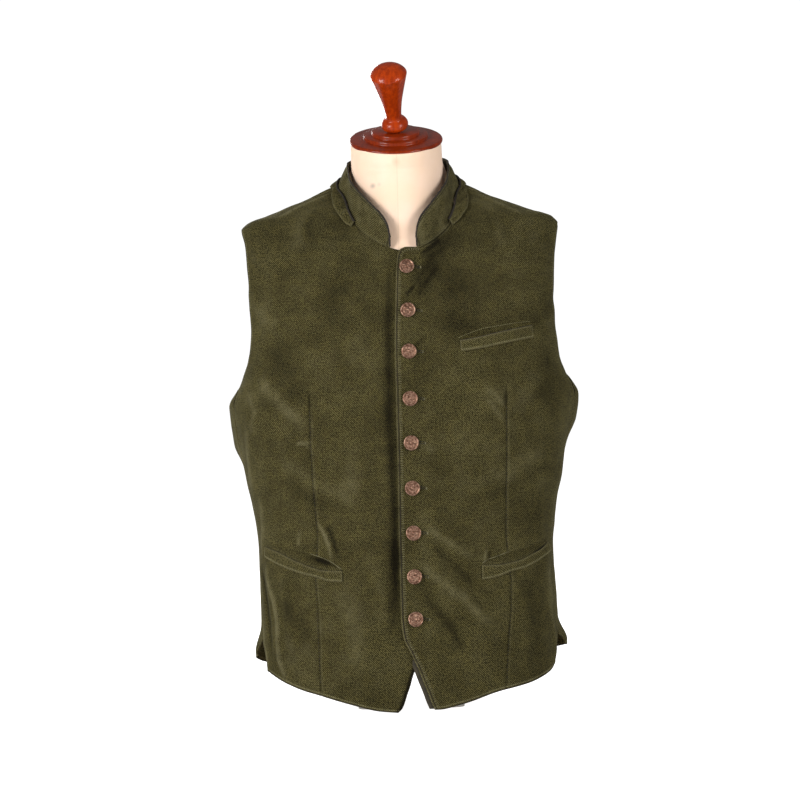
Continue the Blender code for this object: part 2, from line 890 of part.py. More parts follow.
def button_profile():
    """Slightly domed face inside a raised rim, over a flat back."""
    rim = arc_places((BUTTON_RADIUS - 1.2, BUTTON_HEIGHT - 1.6), 1.2, 100, -20, 3)
    dome = [(0.0, BUTTON_HEIGHT), (4.0, BUTTON_HEIGHT - 0.2), (7.0, BUTTON_HEIGHT - 0.9)]
    back = [(BUTTON_RADIUS - 1.2, 0.0), (0.0, 0.0)]
    return dome + rim + back


def button_seat(tree, height):
    """Place and outward direction of a button's back, just clear of the cloth under it."""
    centre, _ = front_hit(tree, BUTTON_FROM_CENTRE, height)
    hits = []
    for step in range(8):
        angle = math.radians(45 * step)
        x = BUTTON_FROM_CENTRE + BUTTON_RADIUS * math.sin(angle)
        hits.append(front_hit(tree, x, height + BUTTON_RADIUS * math.cos(angle)))
    normal = sum((normal for _, normal in hits), Vector()).normalized()
    highest = max((place - centre).dot(normal) for place, _ in hits)
    return centre + normal * (max(highest, 0.0) + BUTTON_SEAT), normal


def make_buttons(tree, material, collection):
    profile = button_profile()
    for number, height in enumerate(BUTTON_HEIGHTS, start=1):
        place, normal = button_seat(tree, height)
        thing = turned_object(f"button_{number}", profile, BUTTON_STEPS, material, collection)
        thing.location = place * MM
        thing.rotation_euler = normal.to_track_quat("Z", "Y").to_euler()


def soft_largest(first, second):
    """The larger of two lengths, rounded where they meet."""
    gap = abs(first - second) / JOIN_SOFTNESS
    return max(first, second) + JOIN_SOFTNESS * math.log(1 + math.exp(-gap))


def neck_radius(azimuth, height):
    """Distance from the upright axis to the neck's round section."""
    angle = math.radians(azimuth)
    facing = Vector((math.sin(angle), -math.cos(angle)))
    centre = Vector((NECK.read(height, "centre_x"), NECK.read(height, "centre_y")))
    radius = NECK.read(height, "radius")
    along = centre.dot(facing)
    return along + math.sqrt(radius**2 - centre.length_squared + along**2)


def torso_radius(azimuth, height):
    """Distance from the upright axis to the form's own surface."""
    side = math.sin(math.radians(azimuth))
    fore = math.cos(math.radians(azimuth))
    facing = "front" if fore > 0 else "back"
    width = BODY.read(height, "left" if side > 0 else "right") - FORM_EASE.read(height, "side")
    depth = BODY.read(height, facing) - FORM_EASE.read(height, facing)
    power = BODY.read(height, "squareness")
    shell = (abs(side / width) ** power + abs(fore / depth) ** power) ** (-1 / power)
    if height < 560:
        return shell
    return soft_largest(shell, neck_radius(azimuth, height))


def torso_ring(height):
    """Ring of the form, which tilts forward where the neck nears its cap."""
    tilt = math.radians(CAP_TILT) * smooth_step((height - 694) / 50)
    ring = []
    for step in range(RING_POINTS):
        azimuth = 360 * step / RING_POINTS
        angle = math.radians(azimuth)
        radius = torso_radius(azimuth, height)
        x = radius * math.sin(angle)
        y = -radius * math.cos(angle)
        ring.append(Vector((x, y, height + (y - CAP_CENTRE[1]) * math.tan(tilt))))
    return ring


def loft_object(name, rings, material, collection):
    """Closed solid through rings of equal size, with flat ends."""
    count = len(rings[0])
    vertices = [point * MM for ring in rings for point in ring]
    faces = []
    for row in range(len(rings) - 1):
        for column in range(count):
            a = row * count + column
            b = row * count + (column + 1) % count
            faces.append((a, b, b + count, a + count))
    faces.append(tuple(reversed(range(count))))
    faces.append(tuple(range((len(rings) - 1) * count, len(rings) * count)))
    mesh = bpy.data.meshes.new(name)
    mesh.from_pydata(vertices, [], faces)
    mesh.materials.append(material)
    mesh.shade_smooth()
    mesh.set_sharp_from_angle(angle=math.radians(40))
    thing = bpy.data.objects.new(name, mesh)
    collection.objects.link(thing)
    return thing


def make_torso(material, collection):
    heights = [TORSO_BOTTOM]
    heights += heights_between(110, 410, 8)
    heights += heights_between(440, 600, 6)
    heights += heights_between(612, 700, 11)
    heights += heights_between(710, CAP_CENTRE[2], 4)
    rings = [torso_ring(height) for height in heights]
    return loft_object("form_torso", rings, material, collection)


def make_board(material, collection):
    """Board that closes the torso from below."""
    outline = torso_ring(TORSO_BOTTOM)
    rings = []
    for height in (BOARD_BOTTOM, BOARD_BOTTOM + BOARD_THICKNESS):
        ring = []
        for point in outline:
            inset = Vector((point.x, point.y, 0)).normalized() * BOARD_INSET
            ring.append(Vector((point.x - inset.x, point.y - inset.y, height)))
        rings.append(ring)
    return loft_object("form_board", rings, material, collection)


def make_feet(material, collection):
    top = BOARD_BOTTOM - SEAT_GAP
    profile = [(0, top), (FOOT_RADIUS + 3, top), (FOOT_RADIUS + 3, top - 8), (FOOT_RADIUS, top - 12)]
    profile += [(FOOT_RADIUS - 2, 6), (FOOT_RADIUS, 3), (FOOT_RADIUS, 0), (0, 0)]
    for number, place in enumerate(FOOT_PLACES, start=1):
        foot = turned_object(f"form_foot_{number}", profile, FOOT_STEPS, material, collection)
        foot.location = (place[0] * MM, place[1] * MM, 0)


def cap_profile():
    """Three turned steps, the lowest one wider than the neck, top to bottom."""
    profile = [(0, 16.5), (31, 16.5), (32, 15.6), (32, 12.4), (33.5, 11.6)]
    profile += [(42, 11.6), (43, 10.8), (43, 7.8), (44.5, 7.0), (58.5, 6.2)]
    profile += arc_places((59.5, 3.2), 3.0, 75, -75, 5)
    profile += [(58.5, 0.3), (0, 0.3)]
    return profile


def handle_profile():
    """Ball, waist and widening grip under a domed end, top to bottom."""
    profile = [(0, 100), (8, 99.3), (15, 97.1), (20.5, 93.4), (23.4, 90.2)]
    profile += [(24.3, 88), (23.5, 85), (20.6, 74), (17.4, 62), (14.1, 49), (12.1, 38)]
    profile += [(10.8, 29), (10.6, 23), (11.6, 19.4), (14.6, 17.4), (17, 14), (18, 10.2)]
    profile += [(17.3, 7.2), (15.6, 5.7), (12, 4.3), (6, 2.9), (0, 2.9)]
    return profile


def make_cap_and_handle(material, collection):
    frame = Matrix.Translation(Vector(CAP_CENTRE) * MM)
    tilt = Matrix.Rotation(math.radians(CAP_TILT), 4, "X")
    cap = turned_object("form_cap", cap_profile(), CAP_STEPS, material, collection)
    cap.matrix_world = frame @ tilt
    seat = frame @ tilt @ Matrix.Translation(Vector((0, 0, 16.5 * MM)))
    forward = Matrix.Rotation(math.radians(HANDLE_LEAN_FORWARD - CAP_TILT), 4, "X")
    aside = Matrix.Rotation(math.radians(-HANDLE_LEAN_RIGHT), 4, "Y")
    handle = turned_object("form_handle", handle_profile(), HANDLE_STEPS, material, collection)
    handle.matrix_world = seat @ forward @ aside


def main():
    clear_scene()
    collection = make_collection("Waistcoat on dress form")
    velvet = make_material("Velvet", (0.062, 0.052, 0.02), 0.9)
    metal = make_material("Button metal", (0.24, 0.13, 0.08), 0.45, 0.8)
    linen = make_material("Linen", (0.93, 0.82, 0.68), 0.85)
    mahogany = make_material("Mahogany", (0.26, 0.035, 0.012), 0.2)
    board_wood = make_material("Board wood", (0.62, 0.45, 0.27), 0.6)
    panels = {}
    for side, name in ((1, "left"), (-1, "right")):
        front = make_panel(f"front_{name}", blend_lines(front_lines(side)), velvet, collection)
        panels[front.name] = front
        plan = blend_lines(back_lines(side))
        back = [[raised_place(side, place) for place in row] for row in plan]
        make_panel(f"back_{name}", back, velvet, collection)
    make_collar_stand(velvet, collection)
    make_collar_roll(velvet, collection)
    bpy.context.view_layer.update()
    trees = {name: surface_tree(panel) for name, panel in panels.items()}
    for name, front, *sizes in WELTS:
        make_welt(name, trees[front], sizes, velvet, collection)
    make_buttons(trees["front_left"], metal, collection)
    make_torso(linen, collection)
    make_board(board_wood, collection)
    make_feet(board_wood, collection)
    make_cap_and_handle(mahogany, collection)


main()
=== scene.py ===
"""A velvet waistcoat on its linen dress form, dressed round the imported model.

Sizes here are millimetres, as in the part's source, and the mesh builders turn them into metres.
The wearer's left is +X, the front faces -Y and +Z is up. An azimuth is an angle round the body in
degrees: 0 at the centre front, 90 at the wearer's left side and 180 at the centre back.
"""

import math

import bpy
import numpy as np
from mathutils import Matrix, Vector
from mathutils.bvhtree import BVHTree


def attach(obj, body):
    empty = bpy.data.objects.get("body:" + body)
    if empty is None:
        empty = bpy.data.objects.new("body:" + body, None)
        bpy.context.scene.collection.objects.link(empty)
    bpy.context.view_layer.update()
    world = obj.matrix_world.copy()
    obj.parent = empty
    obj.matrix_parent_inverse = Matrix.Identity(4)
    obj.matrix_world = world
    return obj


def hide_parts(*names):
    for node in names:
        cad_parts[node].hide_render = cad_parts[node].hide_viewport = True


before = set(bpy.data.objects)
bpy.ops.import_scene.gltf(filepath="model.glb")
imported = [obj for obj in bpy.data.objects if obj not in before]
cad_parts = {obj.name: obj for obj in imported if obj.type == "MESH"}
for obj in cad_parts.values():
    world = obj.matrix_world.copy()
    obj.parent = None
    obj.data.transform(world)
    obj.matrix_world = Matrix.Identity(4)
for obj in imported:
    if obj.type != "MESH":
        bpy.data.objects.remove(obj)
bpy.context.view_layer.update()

MM = 0.001
BODY_NAME = "root"

# Cloth
WALL = 2.2
SEAM_GAP = 0.2
LAYER_GAP = 0.8
CENTRE_TURN = 2.9
COLLAR_START = 10.8
PLACKET_GAP = 1.0
WELT_GAP = 0.8
COLLAR_GAP = 0.85
PLACKET_LIFT_FROM = 54.0
PLACKET_LIFT_FULL = 30.0
GIRTH_RADIUS = 170.0

# Rows of a panel's mesh, from the hem up, as the part's source counts them, and how many fine
# rows each of them becomes
VENT_ROWS = 2
SEAM_ROWS = 13
ARMHOLE_ROWS = 17
RIDGE_ROWS = 3
EDGE_ROWS = 22
BACK_UPPER_ROWS = 8
PANEL_ROWS = VENT_ROWS + SEAM_ROWS + ARMHOLE_ROWS
ROW_SPLIT = 7
FRONT_COLUMNS = 140
BACK_COLUMNS = 96
PLAN_STEPS = 400
# How many more rows or columns lie near an edge or a dart, and within what share or length
HEM_CROWDING = (3.0, 0.012)
TOP_CROWDING = (2.0, 0.01)
EDGE_CROWDING = (2.2, 5)
DART_CROWDING = (2.6, 6)
JOIN_SOFTNESS = 2.0

# Buttons and form
BUTTON_RADIUS = 9.8
BUTTON_FROM_CENTRE = 8.0
NECK_RADIUS_TOP = 60.5
CAP_TILT = 23.0
CAP_CENTRE = (-1.8, -12.0, 749.0)
HANDLE_LEAN_FORWARD = 40.0
HANDLE_LEAN_RIGHT = 5.0
TORSO_BOTTOM = 72.0


class Table:
    """Rows of sizes in rising order of the first column, read along a smooth curve."""

    def __init__(self, columns, rows):
        rows = np.array(rows, dtype=float)
        self.places = rows[:, 0]
        self.curves = {}
        for number, name in enumerate(columns[1:], start=1):
            self.curves[name] = (rows[:, number], self.find_slopes(rows[:, number]))

    def find_slopes(self, values):
        """Slopes that never overshoot: none at a turning point, a harmonic mean elsewhere."""
        rises = np.diff(values) / np.diff(self.places)
        slopes = [rises[0]]
        for before, after in zip(rises, rises[1:]):
            level = before * after <= 0
            slopes.append(0.0 if level else 2 * before * after / (before + after))
        slopes.append(rises[-1])
        return np.array(slopes)

    def read(self, place, name):
        place = np.clip(place, self.places[0], self.places[-1])
        row = np.clip(np.searchsorted(self.places, place) - 1, 0, len(self.places) - 2)
        step = self.places[row + 1] - self.places[row]
        t = (place - self.places[row]) / step
        values, slopes = self.curves[name]
        start = values[row] * (1 + 2 * t) * (1 - t) ** 2 + slopes[row] * step * t * (1 - t) ** 2
        end = values[row + 1] * t * t * (3 - 2 * t) - slopes[row + 1] * step * t * t * (1 - t)
        return start + end


# The cloth's outer face at each height: half widths to the wearer's right and left, depths to
# the front and back, and how square the ring is (2 is an ellipse).
BODY = Table(
    ("height", "right", "left", "front", "back", "squareness"),
    (
        (0, 197, 200, 137, 118, 2.3),
        (60, 197, 200, 134, 117, 2.3),
        (125, 198, 198, 129, 113, 2.3),
        (207, 198.5, 195, 125, 106, 2.3),
        (239, 200.5, 198, 125, 107, 2.3),
        (271, 206, 202, 127, 110, 2.35),
        (303, 213, 209, 130, 115, 2.4),
        (335, 217, 213, 133, 122, 2.4),
        (367, 221, 219, 134, 128, 2.45),
        (400, 223, 223, 135, 133, 2.5),
        (424, 220, 220.5, 134, 136, 2.55),
        (436, 215.5, 216, 133, 137, 2.6),
        (460, 211, 211, 130, 138, 2.6),
        (498, 209.5, 209.5, 125, 137, 2.6),
        (530, 209.5, 209.5, 118, 134, 2.6),
        (561, 210.5, 210.5, 107, 129, 2.55),
        (598, 211.5, 211.5, 93, 119, 2.5),
        (619, 212.5, 212.5, 79.5, 110, 2.4),
        (636, 212, 212.5, 66, 101, 2.4),
        (646, 203.5, 205.5, 57.5, 95, 2.4),
        (656, 175, 177, 49.5, 89, 2.4),
        (667, 147, 147, 40, 82.5, 2.4),
        (676, 125, 122, 33, 78, 2.4),
        (686, 104, 102, 25.5, 73, 2.4),
        (692, 91, 90, 21, 71, 2.4),
        (700, 78, 78, 15, 68, 2.3),
        (708, 75.5, 75.5, 12, 65, 2.2),
        (716, 75, 75, 12, 62, 2.2),
        (730, 75, 75, 12, 60, 2.2),
    ),
)

# How far the form lies inside the cloth's outer face, at the sides and at the front and back
FORM_EASE = Table(
    ("height", "side", "front", "back"),
    (
        (60, 13, 11, 12), (200, 12, 10, 10), (300, 12, 8, 9), (400, 16, 6.5, 8), (440, 18, 6, 8),
        (540, 16, 5, 8), (600, 15, 4.2, 8), (636, 13, 3.9, 7.5), (656, 12.5, 4.6, 7),
        (676, 10.5, 4.8, 6.5), (700, 9, 4.6, 6), (712, 12, 4, 9), (730, 24, 4, 20),
        (752, 30, 4, 30),
    ),
)

# The neck's round section at each height, before it tilts towards the cap
NECK = Table(
    ("height", "radius", "centre_x", "centre_y"),
    (
        (560, 50, 1, -23),
        (600, 58, 1, -21),
        (650, 60, 0.7, -12),
        (700, 60.5, -0.3, -7.5),
        (716, 61, -1.2, -7.5),
        (CAP_CENTRE[2], NECK_RADIUS_TOP, CAP_CENTRE[0], CAP_CENTRE[1]),
    ),
)

# Where the collar is sewn to the body, by azimuth from the centre front
NECKLINE = Table(
    ("azimuth", "height"),
    (
        (0, 603), (10.8, 603.5), (16, 607), (24, 613.5), (34, 624), (43.6, 636), (53, 651.5),
        (62, 666), (75, 683), (90, 699), (117, 706), (143, 712), (180, 716),
    ),
)

# The collar's free edge, by azimuth from the centre front
COLLAR_TOP = Table(
    ("azimuth", "radius", "height"),
    (
        (10.8, 92.5, 620), (12.5, 91, 633), (16.6, 89.2, 645), (24, 87.7, 657.5),
        (34, 84.9, 671.5), (45, 81.2, 684), (58, 75.5, 696), (72, 69.8, 708), (90, 67.5, 722),
        (120, 67.5, 731), (147, 65, 736), (180, 63.5, 738),
    ),
)

# The outer roll of the collar: how far down the body its lower edge reaches, and its width
ROLL = Table(
    ("azimuth", "edge_azimuth", "edge_height", "puff"),
    (
        (43.6, 44.5, 632, 0.3), (48, 50, 637.5, 1.0), (53, 56.5, 647.3, 1.6),
        (62, 67, 663.5, 2.6), (75, 76, 679, 2.6), (83, 82.5, 689, 2.8), (90, 90, 692, 2.3),
        (117, 113, 694.5, 2.6), (143, 140, 697, 3.0), (180, 180, 699, 3.0),
    ),
)

# Front edges: how far each one lies from the middle, at each height
EDGE_OVER = Table(
    ("height", "x"),
    (
        (8, 29), (17.5, 25), (31, 20.4), (46.5, 14.4), (62, 9), (71, 4.7), (85, -1.3), (98, -7.5),
        (125, -10.6), (200, -11), (340, -10), (460, -10), (545, -7), (588, -4.5), (597, -2.6),
        (602, 1), (604, 6),
    ),
)
EDGE_UNDER = Table(
    ("height", "x"),
    (
        (5, -17.4), (10, -12), (17, -8.8), (27, -5.4), (38, -1.2), (51, 2.6), (62, 7), (75, 11),
        (92, 15.5), (110, 18), (588, 19), (594, 17),
    ),
)

# Hem of each front: the height at each distance from the middle
HEM_OVER = Table(
    ("x", "height"),
    ((29, 8), (36.5, 8), (65, 13), (114, 27), (154, 34), (175, 41), (186, 47), (193, 57)),
)
HEM_UNDER = Table(
    ("x", "height"),
    ((17.4, 5), (40.5, 7), (82.6, 17), (119.5, 27), (143, 33), (172, 44), (187, 52)),
)

# Hem of the back, by azimuth from the centre front, on the wearer's right and left
HEM_BACK = Table(
    ("azimuth", "right", "left"),
    (
        (86, 66, 73), (92, 64, 72), (100, 55, 66), (120, 47, 52), (180, 45, 45),
    ),
)

# How far in front of the side line the side seam runs
SIDE_SEAM = Table(
    ("height", "forward"),
    ((40, 50), (70, 42), (97, 28), (200, 20), (340, 20), (400, 26), (434, 34)),
)
VENT_TOP = 97.0
BACK_VENT_FORWARD = 6.0
BACK_CORNER = 88.0
SEAM_TOP = {1: 434.0, -1: 425.0}

# The armhole's edge: how far in front of and behind the side line it lies
ARMHOLE_FRONT = Table(
    ("height", "right", "left"),
    (
        (434, 36, 36), (440, 36.5, 34.5), (448, 41, 34), (460, 49, 36.5), (476, 54.5, 43),
        (498, 56.5, 49), (530, 51.5, 48), (561, 45, 42), (598, 35, 31.5), (619, 25, 20.5),
        (635.5, 9, 8),
    ),
)
ARMHOLE_BACK = Table(
    ("height", "behind"),
    (
        (399, 10), (402, 20), (409, 31), (425, 45), (460, 60), (498, 66), (540, 64), (580, 55),
        (610, 40), (630, 20), (637, 6), (640, 0),
    ),
)

# Below each armhole a tab of the back climbs to the side seam's top. The back is planned with its
# tab's top at a lower height, and the tab is then raised towards the seam.
TAB_FROM = 240.0
TAB_TOP = 380.0
TAB_FADE_FROM = 410.0
TAB_FADE_TO = 470.0
TAB_END = 92.6
TAB_BEND = 1.3
BACK_EVEN_TO = 400.0

# The shoulder seam lies in front of the ridge
SHOULDER_FORWARD = 9.0
SHOULDER_TIP = 635.5
SHOULDER_NECK_AZIMUTH = 83.0
SHOULDER_NECK_HEIGHT = 691.3
SHOULDER_NECK_FORWARD = 11.2

# Soft folds: each runs from one place to another by azimuth and height
FOLDS = (
    # from azimuth, height, to azimuth, height, width, rise
    (-95, 352, -91, 406, 24, 11.0),
    (93, 378, 89, 412, 25, 11.0),
    (-93, 66, -91, 74, 24, 10.0),
    (93, 72, 91, 80, 20, 12.0),
    (-62, 165, -56, 62, 10, 2.6),
    (-50, 150, -47, 90, 12, -2.0),
    (-74, 405, -52, 372, 14, -2.6),
    (-70, 380, -46, 345, 12, 2.0),
    (-42, 420, -36, 380, 14, 2.2),
    (40, 425, 44, 330, 16, 2.0),
    (62, 300, 72, 190, 14, 2.4),
    (12, 200, 40, 112, 13, 2.6),
    (8, 150, 30, 70, 14, -2.4),
    (16, 255, 34, 205, 12, 1.8),
    (-14, 330, -9, 150, 13, -2.2),
    (-12, 560, -10, 400, 14, -1.8),
    (-64, 640, -50, 600, 12, 1.8),
    (62, 650, 46, 600, 12, 1.8),
    (58, 130, 66, 80, 12, 2.2),
    (-112, 330, -140, 250, 15, 2.4),
    (112, 340, 138, 255, 15, 2.2),
    (-118, 250, -150, 205, 13, -2.4),
    (120, 260, 152, 210, 13, -2.2),
    (-150, 420, -140, 330, 16, 2.0),
    (150, 430, 143, 335, 16, 2.2),
    (-128, 150, -122, 60, 15, 3.0),
    (126, 165, 131, 60, 15, 2.6),
    (-160, 140, -163, 55, 14, 2.4),
    (158, 150, 156, 55, 14, -2.2),
    (-120, 470, -146, 520, 15, 2.0),
    (122, 480, 150, 525, 15, 1.8),
)

# Buttons: heights of their centres
BUTTON_HEIGHTS = (577.0, 520.0, 467.0, 406.5, 350.0, 292.0, 234.0, 178.0, 123.5)


# Dart seams of the fronts, from their tops down to the hem: distance from the middle and height
DART_LEFT = ((132, 408), (131, 333), (128, 227), (133, 167), (132, 130), (127, 83), (123, 30))
DART_RIGHT = (
    (-122, 408), (-121, 340), (-120, 293), (-116, 233), (-120, 174), (-119, 121), (-116, 30)
)

# Creases and painted light and shade: each is a line of azimuths and heights with its width, how
# far it rises or sinks, and how light (above 0, painted highlight) or dark (below 0, painted shade)
# it is painted along it
CREASES = (
    # right front, from the chest down
    (((-67, 440), (-56, 406), (-48, 372)), 7.0, 1.3, 0.42),
    (((-62, 486), (-54, 440), (-47, 398)), 17.0, -1.0, -0.32),
    (((-30, 560), (-26, 500), (-22, 440)), 20.0, 0.8, 0.16),
    (((-73, 375), (-77, 292)), 5.0, 0.9, 0.55),
    (((-71, 420), (-68, 392), (-70, 365)), 4.0, 0.8, 0.35),
    (((-72, 286), (-78, 200)), 5.5, 0.9, 0.5),
    (((-47, 250), (-45, 240), (-42, 220), (-41, 199)), 2.2, 1.3, 0.95),
    (((-44, 249), (-41, 236), (-38, 205)), 3.0, -1.1, -0.55),
    (((-55, 240), (-56, 219)), 2.4, 0.6, 0.4),
    (((-51, 353), (-45, 350)), 2.2, 0.9, 0.6),
    (((-75, 198), (-73, 171), (-69, 145), (-67, 119), (-66, 69), (-61, 40)), 3.4, 1.9, 0.9),
    (((-80, 190), (-76, 150), (-73, 112), (-71, 72)), 4.5, -1.8, -0.6),
    (((-79, 110), (-77, 88), (-74, 60)), 2.4, 0.7, 0.7),
    (((-64, 150), (-56, 112), (-50, 96)), 13.0, -1.2, -0.3),
    (((-38, 168), (-30, 120), (-26, 60)), 15.0, 1.2, 0.24),
    (((-26, 330), (-34, 262)), 14.0, 1.0, 0.2),
    (((-58, 335), (-46, 300), (-30, 285)), 10.0, 0.9, 0.2),
    (((-60, 310), (-46, 276), (-28, 262)), 9.0, -0.8, -0.22),
    # the right front sinks beside the edge that lies over it, painted dark as its shadow
    (((-8, 596), (-8, 440), (-7.5, 300), (-7.5, 128)), 8.5, -1.3, -0.6),
    (((-8.5, 232), (-9, 160), (-10, 96)), 12.0, -1.4, -0.42),
    (((-24, 210), (-14, 150), (-12, 110)), 9.0, 0.9, 0.18),
    # left front, from the collar down
    (((46, 628), (24, 592), (7, 552)), 9.0, -1.2, -0.34),
    (((34, 616), (14, 592)), 3.2, -0.9, -0.5),
    (((28, 584), (8, 536)), 4.5, -0.9, -0.3),
    (((3, 541), (9, 553)), 2.2, -0.7, -0.8),
    (((4, 470), (14, 486)), 3.0, -0.6, -0.4),
    (((4, 352), (16, 338)), 4.0, 0.7, 0.3),
    (((39, 419), (43, 408), (47, 393)), 3.6, 1.3, 0.55),
    (((40, 403), (47, 374)), 3.6, 0.9, 0.35),
    (((62, 440), (56, 408), (52, 380)), 9.0, 1.1, 0.2),
    (((70, 470), (66, 430), (62, 392)), 14.0, -1.1, -0.26),
    (((9, 242), (23, 221), (36, 197)), 5.0, 1.5, 0.42),
    (((5, 198), (18, 172), (30, 147), (42, 112)), 6.5, 1.9, 0.45),
    (((8, 154), (23, 113), (30, 74)), 6.5, -1.9, -0.45),
    (((12, 222), (28, 186), (38, 160)), 5.0, -1.2, -0.34),
    (((42, 210), (41, 194)), 2.0, 1.0, 0.7),
    (((44, 210), (43.5, 195)), 2.0, -0.9, -0.6),
    (((72, 146), (77, 84), (76, 56)), 4.0, 1.3, 0.35),
    (((74, 182), (76, 128)), 6.0, 0.9, 0.4),
    (((60, 168), (64, 118), (62, 60)), 11.0, -1.3, -0.3),
    (((80, 330), (77, 262), (79, 214)), 6.0, 0.9, 0.22),
    (((66, 345), (50, 306), (30, 292)), 10.0, 0.9, 0.18),
    (((68, 318), (50, 282), (28, 268)), 9.0, -0.8, -0.2),
    # painted shade over the chest and shoulders, painted highlight lower down and at the sides
    (((14, 590), (34, 545), (30, 470)), 42.0, 0.0, -0.38),
    (((-18, 590), (-34, 540), (-30, 480)), 36.0, 0.0, -0.22),
    (((60, 640), (40, 640)), 40.0, 0.0, -0.15),
    (((-60, 640), (-40, 640)), 36.0, 0.0, -0.1),
    (((-60, 110), (-44, 70)), 44.0, 0.0, 0.12),
    (((-78, 440), (-70, 400)), 22.0, 0.0, 0.14),
    (((-86, 390), (-87, 300), (-86, 200), (-84, 90)), 5.0, 0.3, 0.5),
    (((87, 400), (86, 300), (86, 200), (84, 90)), 6.0, 0.3, 0.45),
    # shoulders
    (((80, 678), (76, 646)), 3.0, 0.9, 0.55),
    (((76, 668), (66, 640), (60, 606)), 5.0, 0.9, 0.22),
    (((70, 655), (60, 622)), 4.0, -0.8, -0.3),
    (((-79, 684), (-80, 666), (-77, 649)), 2.4, 0.8, 0.75),
    (((-74, 664), (-66, 636), (-60, 604)), 5.0, 0.9, 0.22),
    (((-68, 650), (-58, 620)), 4.5, -0.8, -0.3),
    (((-80, 560), (-68, 520), (-60, 500)), 8.0, 0.9, 0.2),
    (((80, 545), (68, 512), (60, 498)), 8.0, -0.8, -0.2),
    # under the arms and across the back
    (((84, 436), (90, 424), (94, 400)), 5.0, -1.0, -0.5),
    (((-86, 430), (-92, 412), (-96, 392)), 5.0, -0.9, -0.3),
    (((-98, 352), (-122, 312), (-150, 296)), 8.0, 1.9, 0.35),
    (((-98, 322), (-124, 280), (-148, 262)), 7.0, -1.7, -0.35),
    (((98, 356), (122, 318), (152, 302)), 8.0, 1.9, 0.35),
    (((98, 326), (126, 284), (148, 268)), 7.0, -1.7, -0.35),
    (((-106, 268), (-128, 232), (-152, 214)), 7.0, 1.3, 0.25),
    (((106, 262), (130, 226), (150, 210)), 7.0, 1.3, 0.25),
    (((172, 332), (150, 304)), 6.0, 1.2, 0.25),
    (((-172, 326), (-152, 298)), 6.0, 1.2, 0.25),
    (((-104, 520), (-128, 560), (-160, 578)), 8.0, 1.6, 0.28),
    (((104, 526), (130, 566), (160, 584)), 8.0, 1.6, 0.28),
    (((-122, 470), (-140, 500), (-164, 512)), 9.0, -1.2, -0.25),
    (((122, 474), (142, 505), (162, 516)), 9.0, -1.2, -0.25),
    (((-166, 690), (-150, 640), (-146, 600)), 6.0, 1.1, 0.25),
    (((166, 690), (151, 642), (148, 604)), 6.0, 1.1, 0.25),
    (((-116, 176), (-124, 110), (-122, 56)), 6.0, 1.7, 0.4),
    (((-132, 180), (-140, 110), (-138, 56)), 7.0, -1.6, -0.3),
    (((118, 182), (126, 118), (130, 58)), 6.0, 1.7, 0.4),
    (((136, 176), (144, 112), (146, 58)), 7.0, -1.6, -0.3),
)

CREASE_DEPTH = 1.3
CREASE_TONE = 1.35

EDGE_STITCH_INSET = 3.4

# Bands along the edges of a panel: the panels whose names hold the first word, the edge, what the
# band does, how strongly, its distance from the edge and its width. Light bands are rubbed wear,
# and at the over front's edge painted highlight; deep bands are the bindings' dark lines, and
# painted shade at the notch and in the groove inside the over front's edge
EDGE_BANDS = (
    ("", "bottom", "light", 0.75, 3.0, 1.3),
    ("", "armhole", "light", 0.5, 3.0, 1.1),
    ("", "seam", "light", 0.65, 1.6, 1.3),
    ("", "top", "light", 0.5, 1.6, 1.4),
    ("back", "inner", "light", 0.4, 1.6, 1.3),
    ("front_left", "inner", "light", 0.9, 0.6, 1.2),
    ("front_left", "inner", "light", 0.5, 4.6, 0.9),
    ("", "bottom", "deep", 0.85, 0.0, 1.4),
    ("", "armhole", "deep", 0.85, 0.0, 1.3),
    ("front_left", "inner", "deep", 0.75, 2.9, 0.8),
    ("front_right", "notch", "deep", 1.8, 0.0, 4.2),
    ("", "seam", "pressed", 1.0, 0.0, 2.6),
    ("", "top", "pressed", 1.0, 0.0, 2.6),
    ("", "bottom", "pressed", 0.35, EDGE_STITCH_INSET, 1.0),
    ("", "armhole", "pressed", 0.35, EDGE_STITCH_INSET, 1.0),
    ("back", "inner", "pressed", 1.0, 0.0, 2.6),
    ("front_left", "inner", "pressed", 0.45, 2.9, 0.9),
)
SEAM_DEPTH = 0.9
NOTCH_SHADE_TOP = 118

# Uneven lie of the cloth and of its nap: how much, over what size of patch, and the noise's seed
PANEL_RISE = ((0.55, 31, 3), (0.25, 13, 4))
PANEL_TONE = ((0.13, 23, 5), (0.09, 8, 6))
STAND_RISE = ((0.45, 17, 8), (0.25, 8, 9))
STAND_TONE = ((0.22, 13, 10), (0.15, 6, 11))
ROLL_RISE = ((0.4, 12, 21), (0.2, 6, 22))
WELT_RISE = ((0.3, 9, 31),)
WORN_TONE = ((0.35, 6, 7),)
NOISE_CELLS = 64

# Grid on which the cloth is measured flat
MEASURED_TOP = 740
MEASURED_COLUMNS = 240
MEASURED_ROWS = 148

# Lines of the pockets on the fronts, seen from ahead, in rising order of x: the foot of the welt,
# its top, and the lip of the mouth above it
POCKETS = (
    (
        "welt_chest",
        "front_left",
        ((75, 466), (100, 469), (126, 474), (169, 482)),
        ((74, 479), (94, 482), (126, 489), (168, 497)),
        ((72, 483), (87, 489), (107, 495), (127, 498), (147, 501), (167, 503)),
    ),
    (
        "welt_left",
        "front_left",
        ((95, 171), (115, 174), (133, 180), (149, 183), (165, 189), (188, 202)),
        ((95, 189), (115, 188.5), (134, 190.5), (149, 194), (163, 200), (174, 205), (184, 213)),
        ((96, 192), (102, 196), (115, 200), (131, 205), (148, 208), (165, 212), (185, 218)),
    ),
    (
        "welt_right",
        "front_right",
        ((-187, 203), (-170, 195), (-152, 188), (-135, 183), (-118, 179), (-102, 174), (-85, 173)),
        ((-186, 216), (-169, 210), (-152, 202), (-138, 196), (-125, 191), (-110, 187), (-85, 186)),
        ((-185, 219), (-169, 216), (-143, 213), (-120, 207), (-102, 200), (-86, 189)),
    ),
)
WELT_THICKNESS = 1.5
